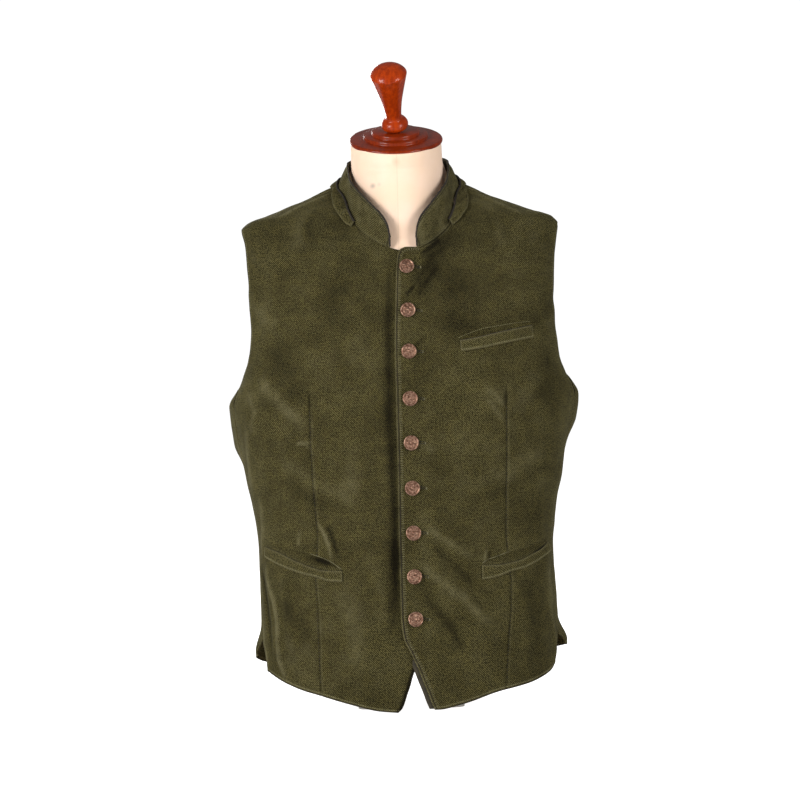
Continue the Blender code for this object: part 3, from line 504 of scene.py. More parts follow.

# Where along its mouth a lower pocket gapes into a slit painted dark as shadow, over what share,
# and how high in it
SLITS = {"pocket_left_facing": (0.84, 0.12, 0.1), "pocket_right_facing": (0.78, 0.13, 0.75)}
FACING_WALL = {"allowance": 0.002, "thickness": 0.4, "offset": 1.0}
# The outer cloth is turned up inside the hem by this much, over the lining.
HEM_FACING = 32.0
NOTCH_TOP = 76
NOTCH_FOOT = 8.5
NOTCH_STRIP = 6.2
LIP_RADIUS = 0.45

# Sewing: how far inside an edge a row of stitches runs, and the stitches' sizes
PLACKET_STITCH_INSET = 6.0
STITCH_LENGTH = 1.9
STITCH_PERIOD = 3.1
STITCH_RADIUS = 0.42
PUCKER_LENGTH = 4.4
PUCKER_PERIOD = 3.0
DART_STITCH_PERIOD = 4.2
CORD_RADIUS = 0.55

# Buttonholes end beside their buttons: the outer end's distance from the middle, and the sizes
HOLE_START = 16.5
HOLE_LENGTH = 9.0
HOLE_DROP = 1.8
HOLE_HALF_WIDTH = 1.15
HOLE_CORD = 0.42
HOLE_KNOT = 0.8

# Finer meshes
STAND_ROWS = 26
STAND_TUCK = 0.07
STAND_STATIONS = 110
ROLL_ROWS = 16
ROLL_STATIONS = 100
ROLL_SINK = 1.9
STAND_CROWN = 1.2
STAND_TUCK_OUT = 22
WELT_ROWS = 12
WELT_COLUMNS = 90
# How far the binding lies in from an edge, and how high off the cloth
BINDING_LINE = (0.3, -0.4)
TORSO_COLUMNS = 180
TORSO_ROWS = ((TORSO_BOTTOM, 600, 90), (603, 752, 60))
NECK_FROM = 560
TILT_FROM = 694
TILT_OVER = 50
LATTICE_PERIOD = 0.0029
LINEN_PERIOD = 0.0011

# Bosses on a button: how many, the first one's angle, distance from the middle, radius and rise
BUTTON_BOSSES = ((1, 0, 0, 2.1, 1.5), (4, 45, 4.3, 1.7, 1.15), (4, 0, 4.9, 0.95, 0.8))
BOSS_HEIGHT = 3.0

# How far each button is turned, and the marks on the linen: place seen from ahead, size, strength
BUTTON_TURNS = (0.3, 0.0, 0.5, 0.2, 0.9, 0.1, 0.6, 0.35, 0.75)
STAINS = (
    ((-33.7, 687.2), 5.0, 0.8, (0.42, 0.36, 0.30)),
    ((-25.2, 688.5), 3.5, 0.4, (0.5, 0.42, 0.36)),
    ((-2.2, 717.0), 7.0, 0.5, (0.6, 0.42, 0.28)),
)

# Studio
CAMERA_PLACE = (-0.005, -3.0, 0.405)
CAMERA_ROLL = 1.45
FOCAL_PIXELS = 2238
PICTURE_PIXELS = 800
LIGHTS_AIM = (0, 0, 0.45)
FLOOR_SIZE = 30
WORLD_SEEN = 1.05
WORLD_LIGHT = 0.22
FLOOR_GLOW = 1.0
SHEEN = 0.22
SOFT_BOXES = (
    ("Soft box left", (-2.0, -2.1, 1.05), 1.1, 74.0),
    ("Soft box right", (2.0, -2.0, 1.0), 1.1, 42.0),
    ("Soft box behind", (-0.9, 2.3, 1.3), 1.2, 40.0),
)


def smooth_step(value):
    t = np.clip(value, 0.0, 1.0)
    return t * t * (3 - 2 * t)


def ridge(distance, centre, width):
    """Soft band at a distance from an edge."""
    return np.exp(-(((distance - centre) / width) ** 2))


def body_radius(azimuth, height, eased=False):
    """Distance from the upright axis to the smooth body, or to the form inside it."""
    side, fore = np.sin(np.radians(azimuth)), np.cos(np.radians(azimuth))
    width = np.where(side > 0, BODY.read(height, "left"), BODY.read(height, "right"))
    depth = np.where(fore > 0, BODY.read(height, "front"), BODY.read(height, "back"))
    if eased:
        front, back = FORM_EASE.read(height, "front"), FORM_EASE.read(height, "back")
        width = width - FORM_EASE.read(height, "side")
        depth = depth - np.where(fore > 0, front, back)
    power = BODY.read(height, "squareness")
    return (np.abs(side / width) ** power + np.abs(fore / depth) ** power) ** (-1 / power)


def line_field(along, height, places):
    """Distance from a drawn line in the plan, and how far along it a place lies, from 0 to 1."""
    ends = [np.array((math.radians(azimuth) * GIRTH_RADIUS, up)) for azimuth, up in places]
    lengths = [np.linalg.norm(end - start) for start, end in zip(ends, ends[1:])]
    nearest, share = np.full(along.shape, 1e6), np.zeros(along.shape)
    passed = 0.0
    for start, end, length in zip(ends, ends[1:], lengths):
        run = end - start
        t = ((along - start[0]) * run[0] + (height - start[1]) * run[1]) / length**2
        t = np.clip(t, 0, 1)
        distance = np.hypot(along - start[0] - run[0] * t, height - start[1] - run[1] * t)
        share = np.where(distance < nearest, (passed + length * t) / sum(lengths), share)
        nearest = np.minimum(nearest, distance)
        passed += length
    return nearest, share


def fold_rise(azimuth, height):
    """Sum of the soft folds at a place, each fading with the distance from its line."""
    along = np.radians(azimuth) * GIRTH_RADIUS
    rise = np.zeros(along.shape)
    for *ends, width, peak in FOLDS:
        distance, _ = line_field(along, height, (ends[:2], ends[2:]))
        rise = rise + peak * ridge(distance, 0, width)
    return rise


def body_point(azimuth, height, lift=0.0):
    """Place on the cloth's outer face, with its folds."""
    azimuth, height = np.broadcast_arrays(np.asarray(azimuth, float), np.asarray(height, float))
    wrapped = (azimuth + 180) % 360 - 180
    radius = body_radius(wrapped, height) + fold_rise(wrapped, height) + lift
    angle = np.radians(azimuth)
    return np.stack([radius * np.sin(angle), -radius * np.cos(angle), height], axis=-1)


def unit(vectors):
    return vectors / np.linalg.norm(vectors, axis=-1, keepdims=True)


def body_normal(azimuth, height):
    """Outward direction of the cloth at a place."""
    step = 0.5
    round_the_body = body_point(azimuth + step, height) - body_point(azimuth - step, height)
    upwards = body_point(azimuth, height + step) - body_point(azimuth, height - step)
    return unit(np.cross(round_the_body, upwards))


def azimuth_at(x, height):
    """Azimuth of the place on the front that lies at x."""
    width = np.where(np.asarray(x) > 0, BODY.read(height, "left"), BODY.read(height, "right"))
    depth = BODY.read(height, "front")
    power = BODY.read(height, "squareness")
    share = np.minimum(np.abs(x) / width, 1.0)
    return np.degrees(np.arctan2(x, depth * (1 - share**power) ** (1 / power)))


def azimuth_forward(side, forward, height):
    """Azimuth of the place that lies a distance in front of the side line, or behind it."""
    width = BODY.read(height, "left" if side > 0 else "right")
    ahead = np.asarray(forward) > 0
    depth = np.where(ahead, BODY.read(height, "front"), BODY.read(height, "back"))
    power = BODY.read(height, "squareness")
    share = np.minimum(np.abs(forward) / depth, 1.0)
    return side * np.degrees(np.arctan2(width * (1 - share**power) ** (1 / power), forward))


def turned(azimuth):
    """Azimuth of a collar place, whose middle lies a little to the wearer's left at the front."""
    return azimuth + CENTRE_TURN * np.maximum(1 - np.abs(azimuth) / 90, 0.0)


def placket_lift(x):
    """How far the upper front stands off, where it lies on the lower one."""
    share = (PLACKET_LIFT_FROM - x) / (PLACKET_LIFT_FROM - PLACKET_LIFT_FULL)
    return (WALL + PLACKET_GAP) * smooth_step(share)


def flat(azimuth, height):
    """Places in the flat plan where azimuths become lengths."""
    azimuth, height = np.broadcast_arrays(np.asarray(azimuth, float), np.asarray(height, float))
    return np.stack([np.radians(azimuth) * GIRTH_RADIUS, height], axis=-1)


def plan_azimuth(places):
    return np.degrees(places[..., 0] / GIRTH_RADIUS)


def resample(points, shares):
    """Places at given shares of the length of a line."""
    lengths = np.linalg.norm(np.diff(points, axis=0), axis=1)
    reached = np.concatenate(([0.0], np.cumsum(lengths)))
    at = np.asarray(shares) * reached[-1]
    return np.stack([np.interp(at, reached, points[:, k]) for k in range(points.shape[1])], axis=1)


def places_along(*stretches):
    """Places along a boundary whose stretches are each cut into their own number of rows."""
    places = [stretches[0][0][:1]]
    for points, rows in stretches:
        shares = np.linspace(0, 1, rows * ROW_SPLIT + 1)[1:]
        places.append(resample(points, shares))
    return np.concatenate(places)


def neckline(side, start, end, steps=60):
    azimuth = np.linspace(start, end, steps + 1)
    return flat(turned(side * azimuth), NECKLINE.read(azimuth, "height"))


def gap_azimuth(azimuth, height, gap):
    """Angle that half a seam's gap takes up at a place."""
    return np.degrees(gap / 2 / body_radius(azimuth, height))


def tab_share(plan_height):
    """How fully the tab below the armhole is raised, at a height of the plan."""
    climb = smooth_step((plan_height - TAB_FROM) / (TAB_TOP - TAB_FROM))
    return climb * (1 - smooth_step((plan_height - TAB_FADE_FROM) / (TAB_FADE_TO - TAB_FADE_FROM)))


def seam_height(side, plan_height):
    """Height of the side seam at a height of the plan."""
    return plan_height + (SEAM_TOP[side] - TAB_TOP) * tab_share(plan_height)


def seam_azimuth(side, height):
    return azimuth_forward(side, SIDE_SEAM.read(height, "forward"), height)


def seam_places(side, plan_heights, towards_back):
    """Line up the side seam, moved aside by half the seam's gap."""
    height = seam_height(side, plan_heights)
    azimuth = seam_azimuth(side, height)
    return flat(azimuth + side * towards_back * gap_azimuth(azimuth, height, SEAM_GAP), height)


def shoulder_places(side, towards_back):
    """Line down the shoulder seam, from the neck to the tip."""
    share = np.linspace(0, 1, 81)
    height = SHOULDER_NECK_HEIGHT * (1 - share) + SHOULDER_TIP * share
    forward = SHOULDER_NECK_FORWARD * (1 - share) + SHOULDER_FORWARD * share
    return flat(azimuth_forward(side, forward - towards_back * SEAM_GAP / 2, height), height)


def front_lines(side):
    """The four boundary lines of a front, in the flat plan: inner, outer, hem and top."""
    edge, hem = (EDGE_OVER, HEM_OVER) if side > 0 else (EDGE_UNDER, HEM_UNDER)
    height = np.linspace(edge.places[0], edge.places[-1], 240)
    edge_places = flat(azimuth_at(edge.read(height, "x"), height), height)
    top = shoulder_places(side, -1)
    neck = neckline(side, COLLAR_START, SHOULDER_NECK_AZIMUTH)
    neck[-1] = top[0]
    edge_places = np.concatenate([edge_places, neck[:1]])
    inner = places_along((edge_places, EDGE_ROWS), (neck, PANEL_ROWS - EDGE_ROWS))
    corner = hem.read(hem.places[-1], "height")
    vent = seam_places(side, np.linspace(corner, VENT_TOP, 30), -1)
    seam = seam_places(side, np.linspace(VENT_TOP, TAB_TOP, SEAM_ROWS * ROW_SPLIT + 1), -1)
    arm_side = "left" if side > 0 else "right"
    height = np.linspace(SEAM_TOP[side], SHOULDER_TIP, 160)[1:-1]
    arm = flat(azimuth_forward(side, ARMHOLE_FRONT.read(height, arm_side), height), height)
    arm = np.concatenate([seam[-1:], arm, top[-1:]])
    outer = np.concatenate(
        [places_along((vent, VENT_ROWS))[:-1], seam, places_along((arm, ARMHOLE_ROWS))[1:]]
    )
    x = np.linspace(hem.places[0], hem.places[-1], 160)
    bottom = flat(azimuth_at(side * x, hem.read(x, "height")), hem.read(x, "height"))
    bottom[0], bottom[-1] = inner[0], outer[0]
    return inner, outer, bottom, top


def back_lines(side):
    """The four boundary lines of a half back, in a plan where its tab isn't raised yet."""
    hem_side = "left" if side > 0 else "right"
    height = np.linspace(HEM_BACK.read(180, hem_side), NECKLINE.read(180, "height"), 200)
    centre = flat(side * (180 - gap_azimuth(180, height, SEAM_GAP)), height)
    top = shoulder_places(side, 1)
    neck = neckline(side, 180, 90)
    neck[0] = centre[-1]
    over_ridge = neckline(side, 90, SHOULDER_NECK_AZIMUTH, 20)
    over_ridge[-1] = top[0]
    lower = centre[centre[:, 1] <= BACK_EVEN_TO]
    upper = np.concatenate([lower[-1:], centre[centre[:, 1] > BACK_EVEN_TO]])
    neck_rows = ARMHOLE_ROWS - BACK_UPPER_ROWS - RIDGE_ROWS
    inner = places_along((lower, VENT_ROWS + SEAM_ROWS), (upper, BACK_UPPER_ROWS))
    inner = np.concatenate([inner, places_along((neck, neck_rows), (over_ridge, RIDGE_ROWS))[1:]])
    corner = HEM_BACK.read(BACK_CORNER, hem_side)
    height = np.linspace(corner, VENT_TOP, 30)
    share = smooth_step((height - corner) / (VENT_TOP - corner))
    seam_forward = SIDE_SEAM.read(VENT_TOP, "forward")
    vent_forward = BACK_VENT_FORWARD + (seam_forward - BACK_VENT_FORWARD) * share
    azimuth = azimuth_forward(side, vent_forward, height)
    vent = flat(azimuth + side * gap_azimuth(azimuth, height, SEAM_GAP), height)
    plan_heights = np.linspace(VENT_TOP, TAB_TOP, SEAM_ROWS * ROW_SPLIT + 1)
    seam = seam_places(side, plan_heights, 1)
    seam[:, 1] = plan_heights
    height = np.linspace(ARMHOLE_BACK.places[0], ARMHOLE_BACK.places[-1], 240)
    arm = flat(azimuth_forward(side, -ARMHOLE_BACK.read(height, "behind"), height), height)
    arm = np.concatenate([seam[-1:], arm])
    tip = np.stack([arm[-1], top[-1]])
    over = places_along((arm, ARMHOLE_ROWS - RIDGE_ROWS), (tip, RIDGE_ROWS))[1:]
    outer = np.concatenate([places_along((vent, VENT_ROWS))[:-1], seam, over])
    azimuth = np.linspace(180, abs(plan_azimuth(vent[0])), 160)
    bottom = flat(side * azimuth, HEM_BACK.read(azimuth, hem_side))
    bottom[0], bottom[-1] = inner[0], outer[0]
    return inner, outer, bottom, top


def raised_places(side, places):
    """Takes a back's places from its plan to the real height, which climbs to the side seam."""
    azimuth = np.abs(plan_azimuth(places))
    seam = np.abs(seam_azimuth(side, seam_height(side, np.minimum(places[..., 1], TAB_TOP))))
    share = np.clip((TAB_END - azimuth) / (TAB_END - seam), 0.0, 1.0)
    rise = (SEAM_TOP[side] - TAB_TOP) * tab_share(places[..., 1]) * share**TAB_BEND
    return np.stack([places[..., 0], places[..., 1] + rise], axis=-1)


def even_steps(density, count):
    """Places from 0 to 1 that lie closer together where the density is higher."""
    reached = np.concatenate(([0.0], np.cumsum((density[1:] + density[:-1]) / 2)))
    even = np.linspace(0, 1, PLAN_STEPS + 1)
    return np.interp(np.linspace(0, reached[-1], count), reached, even)


def crowding(distance, amount):
    return amount[0] * ridge(distance, 0, amount[1])


def crowded_rows(count):
    """Rows of a panel's mesh as fractions of its plan's rows, closer together at hem and top."""
    even = np.linspace(0, 1, PLAN_STEPS + 1)
    density = 1 + crowding(even, HEM_CROWDING) + crowding(1 - even, TOP_CROWDING)
    return even_steps(density, count) * (count - 1)


def at_rows(line, rows):
    """A boundary's places at fractional rows."""
    whole = np.arange(len(line))
    return np.stack([np.interp(rows, whole, line[:, k]) for k in range(line.shape[1])], axis=1)


def blend_lines(lines, shares):
    """Flat places between four boundary lines, at each row's own shares of the width."""
    inner, outer, bottom, top = lines
    rows = crowded_rows(len(inner))
    t = (rows / (len(inner) - 1))[:, None, None]
    inner, outer = at_rows(inner, rows), at_rows(outer, rows)
    even = np.linspace(0, 1, PLAN_STEPS + 1)
    low, high = resample(bottom, even), resample(top, even)
    s = shares[..., None]
    below = np.stack([np.interp(shares, even, low[:, k]) for k in (0, 1)], axis=-1)
    above = np.stack([np.interp(shares, even, high[:, k]) for k in (0, 1)], axis=-1)
    corners = (inner[0] * (1 - s) + outer[0] * s) * (1 - t)
    corners = corners + (inner[-1] * (1 - s) + outer[-1] * s) * t
    sides = inner[:, None] * (1 - s) + outer[:, None] * s
    return sides + below * (1 - t) + above * t - corners


def crowded_shares(lines, columns, dart=None):
    """Shares of the width at each row's columns, closer together at the edges and at a dart."""
    even = np.linspace(0, 1, PLAN_STEPS + 1)
    plan = blend_lines(lines, np.tile(even, (len(lines[0]), 1)))
    width = np.abs(plan[:, -1:, 0] - plan[:, :1, 0])
    density = 1 + crowding(even * width, EDGE_CROWDING)
    density = density + crowding((1 - even) * width, EDGE_CROWDING)
    if dart:
        off, _ = dart_offset(plan_azimuth(plan), plan[..., 1], dart)
        density = density + crowding(off, DART_CROWDING)
    return np.array([even_steps(row, columns + 1) for row in density])


def grid_normals(points):
    along = np.gradient(points, axis=1)
    up = np.gradient(points, axis=0)
    return unit(np.cross(along, up))


def spans(points, axis):
    """Distance of each grid point from both ends of its row or column, along the cloth."""
    steps = np.linalg.norm(np.diff(points, axis=axis), axis=-1)
    reached = np.cumsum(steps, axis=axis)
    pad = [(0, 0), (0, 0)]
    pad[axis] = (1, 0)
    reached = np.pad(reached, pad)
    whole = np.take(reached, [-1], axis=axis)
    return reached, whole - reached


def blended(corners, s, t):
    """Value between four corners, given from low to high and across each time."""
    low = corners[0] * (1 - s) + corners[1] * s
    high = corners[2] * (1 - s) + corners[3] * s
    return low * (1 - t) + high * t


def soft_noise(u, v, layers):
    """Sum of smooth seeded noises over flat cloth."""
    total = 0.0
    for amount, cell, seed in layers:
        table = np.random.RandomState(seed).rand(NOISE_CELLS, NOISE_CELLS) * 2 - 1
        x, y = u / cell, v / cell
        column, row = np.floor(x).astype(int), np.floor(y).astype(int)
        corners = [
            table[(row + up) % NOISE_CELLS, (column + across) % NOISE_CELLS]
            for up in (0, 1)
            for across in (0, 1)
        ]
        total = total + amount * blended(corners, smooth_step(x - column), smooth_step(y - row))
    return total


def cloth_coordinates(azimuth, height):
    """How far round the body and up it each place lies, measured on the smooth cloth."""
    azimuths = np.radians(np.linspace(-180, 180, MEASURED_COLUMNS + 1))[None, :]
    heights = np.linspace(0, MEASURED_TOP, MEASURED_ROWS + 1)[:, None]
    radius = body_radius(np.degrees(azimuths), heights)
    up = np.broadcast_to(heights, radius.shape)
    rings = np.stack([radius * np.sin(azimuths), -radius * np.cos(azimuths), up], axis=-1)
    around, up = spans(rings, 1)[0], spans(rings, 0)[0]
    middle = MEASURED_COLUMNS // 2
    around = around - around[:, middle : middle + 1]
    column = np.clip((azimuth + 180) / 360 * MEASURED_COLUMNS, 0, MEASURED_COLUMNS - 0.001)
    row = np.clip(height / MEASURED_TOP * MEASURED_ROWS, 0, MEASURED_ROWS - 0.001)
    r, c = row.astype(int), column.astype(int)
    near = ((r, c), (r, c + 1), (r + 1, c), (r + 1, c + 1))
    return [blended([table[at] for at in near], column - c, row - r) for table in (around, up)]


def blurred(values, reach):
    """Grid of values, each the mean of its neighbours within a reach of cells."""
    for axis in (0, 1):
        pad = [(0, 0), (0, 0)]
        pad[axis] = (reach + 1, reach)
        summed = np.cumsum(np.pad(values, pad, mode="edge"), axis=axis)
        size = values.shape[axis]
        upper = np.take(summed, range(2 * reach + 1, 2 * reach + 1 + size), axis=axis)
        lower = np.take(summed, range(0, size), axis=axis)
        values = (upper - lower) / (2 * reach + 1)
    return values


def crease_fields(azimuth, height):
    """Rise of the creases at each place, and how light or dark they are painted there, as painted
    highlight and painted shade.
    """
    along = np.radians(azimuth) * GIRTH_RADIUS
    rise, tone = np.zeros(azimuth.shape), np.zeros(azimuth.shape)
    for places, width, peak, light in CREASES:
        distance, share = line_field(along, height, places)
        taper = smooth_step(np.minimum(share, 1 - share) * 4 + 0.2)
        amount = ridge(distance, 0, width) * taper
        rise += peak * CREASE_DEPTH * amount
        tone += light * CREASE_TONE * amount
    return rise, tone


def link_collection(name):
    collection = bpy.data.collections.new(name)
    bpy.context.scene.collection.children.link(collection)
    return collection


def sheet_object(name, points, uv, masks, materials, thickness=WALL, offset=-1.0):
    """Cloth through a grid of points, with flat coordinates, masks and a wall."""
    rows, columns = points.shape[:2]
    corner = np.arange(rows * columns).reshape(rows, columns)
    faces = np.stack([corner[:-1, :-1], corner[:-1, 1:], corner[1:, 1:], corner[1:, :-1]], axis=-1)
    faces = faces.reshape(-1, 4)
    mesh = bpy.data.meshes.new(name)
    mesh.from_pydata((points.reshape(-1, 3) * MM).tolist(), [], faces.tolist())
    layer = mesh.uv_layers.new(name="Cloth")
    layer.data.foreach_set("uv", (uv.reshape(-1, 2)[faces.reshape(-1)] * MM).ravel())
    for mask, values in masks.items():
        attribute = mesh.attributes.new(mask, "FLOAT", "POINT")
        attribute.data.foreach_set("value", np.asarray(values, np.float32).ravel())
    for material in materials:
        mesh.materials.append(material)
    mesh.shade_smooth()
    thing = bpy.data.objects.new(name, mesh)
    CLOTH.objects.link(thing)
    wall = thing.modifiers.new("Wall", "SOLIDIFY")
    wall.thickness = thickness * MM
    wall.offset = offset
    if len(materials) > 1:
        wall.material_offset = 1
    return thing


def declare_sheet(thing):
    """Attaches a sheet to the body."""
    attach(thing, BODY_NAME)


def lay_sheet(
    name, points, flat_place, masks, materials,
    node=None, held="stretched", allowance=0.02, hem=0, **wall
):
    """Makes a sheet of cloth whose faces point outwards and attaches it to the body."""
    face, uv = points, np.stack(flat_place, axis=-1)
    across, up = points[0, 1] - points[0, 0], points[1, 0] - points[0, 0]
    if np.cross(across, up).dot(points[0, 0] * (1, 1, 0)) < 0:
        face, uv = face[:, ::-1], uv[:, ::-1]
        masks = {key: values[:, ::-1] for key, values in masks.items()}
    thing = sheet_object(name, face, uv, masks, materials, **wall)
    if hem:
        turned_up = spans(face, 0)[0][:-1, :-1] < hem
        thing.data.polygons.foreach_set("material_index", np.where(turned_up, 0, 1).ravel())
    declare_sheet(thing)
    if node:
        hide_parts(node)
    return thing


def wear_highlight_and_shade_masks(rise, points):
    """Lighter on crests, as rubbed wear and painted highlight, and along edges as rubbed wear;
    darker in troughs, as painted shade.
    """
    crest = rise - blurred(rise, 3)
    inner, outer = spans(points, 1)
    bottom, top = spans(points, 0)
    nearest = np.minimum(np.minimum(inner, outer), np.minimum(bottom, top))
    rubbed = 0.5 * smooth_step(crest / 0.35) + 0.6 * ridge(nearest, 0, 1.6)
    dark = 0.6 * smooth_step(-crest / 0.35)
    return {"rubbed": np.clip(rubbed, 0, 1), "dark": np.clip(dark, 0, 1)}


def panel_edges(name, side, points, height):
    """Light and deep bands, and the pressing in, along a panel's edges and seams."""
    to_inner, to_outer = spans(points, 1)
    to_bottom, to_top = spans(points, 0)
    armhole = smooth_step((height - SEAM_TOP[side] + 6) / 8)
    if "back" in name:
        armhole = smooth_step((height - seam_height(side, TAB_TOP) + 30) / 8)
    edges = {
        "bottom": (to_bottom, 1),
        "top": (to_top, 1),
        "inner": (to_inner, 1),
        "armhole": (to_outer, armhole),
        "seam": (to_outer, 1 - armhole),
        "notch": (to_inner, smooth_step((NOTCH_SHADE_TOP - height) / 10)),
    }
    bands = {"light": 0.0, "deep": 0.0, "pressed": 0.0}
    for panel, edge, effect, strength, centre, width in EDGE_BANDS:
        if panel in name:
            distance, share = edges[edge]
            bands[effect] = bands[effect] + strength * ridge(distance, centre, width) * share
    return bands["light"], bands["deep"], bands["pressed"]


def dart_offset(azimuth, height, dart):
    """Distance from the dart's seam, and how far above its top a place lies."""
    x, heights = np.array(dart[::-1], float).T
    line_x = np.interp(height, heights, x)
    off = np.radians(azimuth - azimuth_at(line_x, height)) * GIRTH_RADIUS
    return off, height - heights[-1]


def make_panel(name, side, lines, columns, dart=None, over=False):
    """A front or a half back, with its creases, its dart and its seams pressed in."""
    shares = crowded_shares(lines, columns, dart)
    places = blend_lines(lines, shares)
    if "back" in name:
        places = raised_places(side, places)
    azimuth, height = plan_azimuth(places), places[..., 1]
    lift = placket_lift(body_point(azimuth, height)[..., 0]) if over else 0.0
    points = body_point(azimuth, height, lift)
    normals = grid_normals(points)
    if np.mean(np.sum(normals * points, axis=-1)) < 0:
        normals = -normals
    around, up = cloth_coordinates(azimuth, height)
    hidden = 1.0
    if name == "front_right":
        hidden = smooth_step((-points[..., 0] + 4) / 10)
    rise, tone = crease_fields(azimuth, height)
    rise = (rise + soft_noise(around, up, PANEL_RISE)) * hidden
    tone = tone * hidden + soft_noise(around, up, PANEL_TONE)
    light, deep, pressed = panel_edges(name, side, points, height)
    rise -= SEAM_DEPTH * np.minimum(pressed, 1.0)
    if dart:
        off, above = dart_offset(azimuth, height, dart)
        inside = smooth_step(-above / 25)
        rise -= 0.7 * ridge(off, 0, 1.6) * inside
        rise -= 1.5 * np.exp(-((off / 3.0) ** 2) - ((above + 4) / 14) ** 2)
        # A dark line down the dart's seam, painted shade in the dimple at its top, and a lighter
        # line beside the seam
        deep += 0.42 * ridge(off, -0.4, 1.5) * inside
        deep += 0.8 * np.exp(-((off / 1.8) ** 2) - ((above + 2) / 13) ** 2)
        light += 0.32 * ridge(off, 2.2, 1.4) * inside
    points = points + normals * rise[..., None]
    worn = 0.75 + soft_noise(around, up, WORN_TONE)
    # The rubbed mask is rubbed wear along edges and seams, and painted highlight on crests and down
    # the sides; the dark mask is the dark lines of bindings and darts, and painted shade in
    # troughs, beside the over front, at the notch and over the chest; random tone shows in both
    masks = {
        "rubbed": np.clip((np.maximum(tone, 0) + light) * worn, 0, 1),
        "dark": np.clip(np.maximum(-tone, 0) + deep, 0, 1),
    }
    materials = [VELVET, VELVET, LINING]
    cloth = f"{name}_cloth"
    thing = lay_sheet(cloth, points, (around, up), masks, materials, name, hem=HEM_FACING)
    return thing, points, normals


def neckline_point(azimuth):
    """Place on the cloth's outer face at the neckline."""
    azimuth = np.asarray(azimuth, float)
    height = NECKLINE.read(np.abs(azimuth), "height")
    place = turned(azimuth)
    x = body_point(place, height)[..., 0]
    return body_point(place, height, np.where(azimuth > 0, placket_lift(x), 0.0))


def collar_base(azimuth):
    """Place where the stand rises, clear of the body's edge by the collar's gap."""
    height = NECKLINE.read(np.abs(azimuth), "height")
    along = neckline_point(azimuth + 1) - neckline_point(azimuth - 1)
    towards_neck = unit(np.cross(body_normal(turned(azimuth), height), along))
    return neckline_point(azimuth) + towards_neck * COLLAR_GAP


def collar_top(azimuth):
    radius = COLLAR_TOP.read(np.abs(azimuth), "radius")
    angle = np.radians(turned(azimuth))
    height = COLLAR_TOP.read(np.abs(azimuth), "height")
    return np.stack([radius * np.sin(angle), -radius * np.cos(angle), height], axis=-1)


def collar_azimuths(start, steps):
    """Stations from the wearer's right end, round the back, to the left end."""
    half = start + (180 - start) * np.linspace(0, 1, steps + 1) ** 1.25
    return np.concatenate([-half, half[::-1][1:]])


def make_collar_stand():
    """The tall stand, whose foot is tucked in behind the neckline's edge."""
    stations = collar_azimuths(COLLAR_START, STAND_STATIONS)
    t = np.linspace(-STAND_TUCK, 1, STAND_ROWS + 1)[:, None, None]
    base, top = collar_base(stations), collar_top(stations)
    points = base * (1 - t) + top * t
    outwards = unit(points * (1, 1, 0))
    points = points + outwards * STAND_CROWN * np.sin(np.pi * np.maximum(t, 0))
    points = points + outwards * STAND_TUCK_OUT * np.minimum(t, 0)
    reached, _ = spans(points, 1)
    up, left = spans(points, 0)
    rise = soft_noise(reached, up, STAND_RISE) - 0.6 * ridge(left, 4.2, 1.1)
    points = points + outwards * rise[..., None]
    from_start, from_end = spans(points, 1)
    to_rim = np.minimum(left, np.minimum(from_start, from_end))
    reached = np.broadcast_to(reached[STAND_ROWS // 2], reached.shape)
    tone = soft_noise(reached, up, STAND_TONE)
    masks = wear_highlight_and_shade_masks(rise, points)
    # Lighter either side of the stitched groove and above the foot, as painted highlight, and
    # darker in the groove and at the foot, where it tucks in behind the body's edge, as painted
    # shade
    light = 0.5 * ridge(to_rim, 2.6, 0.8) + 0.3 * ridge(to_rim, 5.8, 1.2) + 0.35 * ridge(up, 3, 2)
    masks["rubbed"] = np.clip(masks["rubbed"] * 0.6 + 0.14 + light + np.maximum(tone, 0), 0, 1)
    deep = ridge(to_rim, 4.2, 1.0) + 0.5 * ridge(up, 0.5, 1.5)
    masks["dark"] = np.clip(masks["dark"] * 0.4 + deep + np.maximum(-tone, 0), 0, 1)
    materials = [VELVET, FACING_AND_SHADE]
    flat_place = reached, up
    lay_sheet("collar_stand_cloth", points, flat_place, masks, materials, "collar_stand", "folded")
    return points, np.broadcast_to(outwards, points.shape)


def make_collar_roll():
    """The crescent that turns down from the stand's foot, with a rubbed free edge."""
    stations = collar_azimuths(ROLL.places[0], ROLL_STATIONS)
    angle = np.radians(turned(stations))
    outwards = np.stack([np.sin(angle), -np.cos(angle), 0 * angle], axis=-1)
    base, stand = collar_base(stations), collar_top(stations)
    top = base * 0.9 + stand * 0.1 + outwards * (WALL + 1.2)
    side = np.where(stations > 0, 1, -1)
    edge_azimuth = turned(side * ROLL.read(np.abs(stations), "edge_azimuth"))
    edge_height = ROLL.read(np.abs(stations), "edge_height")
    edge = body_point(edge_azimuth, edge_height)
    behind = smooth_step((np.abs(stations) - 70) / 14)[:, None]
    raised = WALL + LAYER_GAP - ROLL_SINK * behind
    edge = edge + body_normal(edge_azimuth, edge_height) * raised
    puff = ROLL.read(np.abs(stations), "puff")[:, None] * (1 - 0.5 * behind)
    middle_out = unit(outwards + (0, 0, 0.8))
    t = np.linspace(0, 1, ROLL_ROWS + 1)[:, None, None]
    points = top * (1 - t) + edge * t + middle_out * puff * np.sin(np.pi * t) ** 0.8
    reached, _ = spans(points, 1)
    down, _ = spans(points, 0)
    rise = soft_noise(reached, down, ROLL_RISE) * np.sin(np.pi * t[..., 0]) ** 0.5
    points = points + middle_out * rise[..., None]
    # The masks paint the troughs dark as shade, and the inner face takes the dark edging as painted
    # shade in the gap under the roll
    masks = wear_highlight_and_shade_masks(rise, points)
    materials = [VELVET, EDGING_AND_SHADE]
    flat_place = reached, down
    lay_sheet("collar_roll_cloth", points, flat_place, masks, materials, "collar_roll", "folded")
    return points


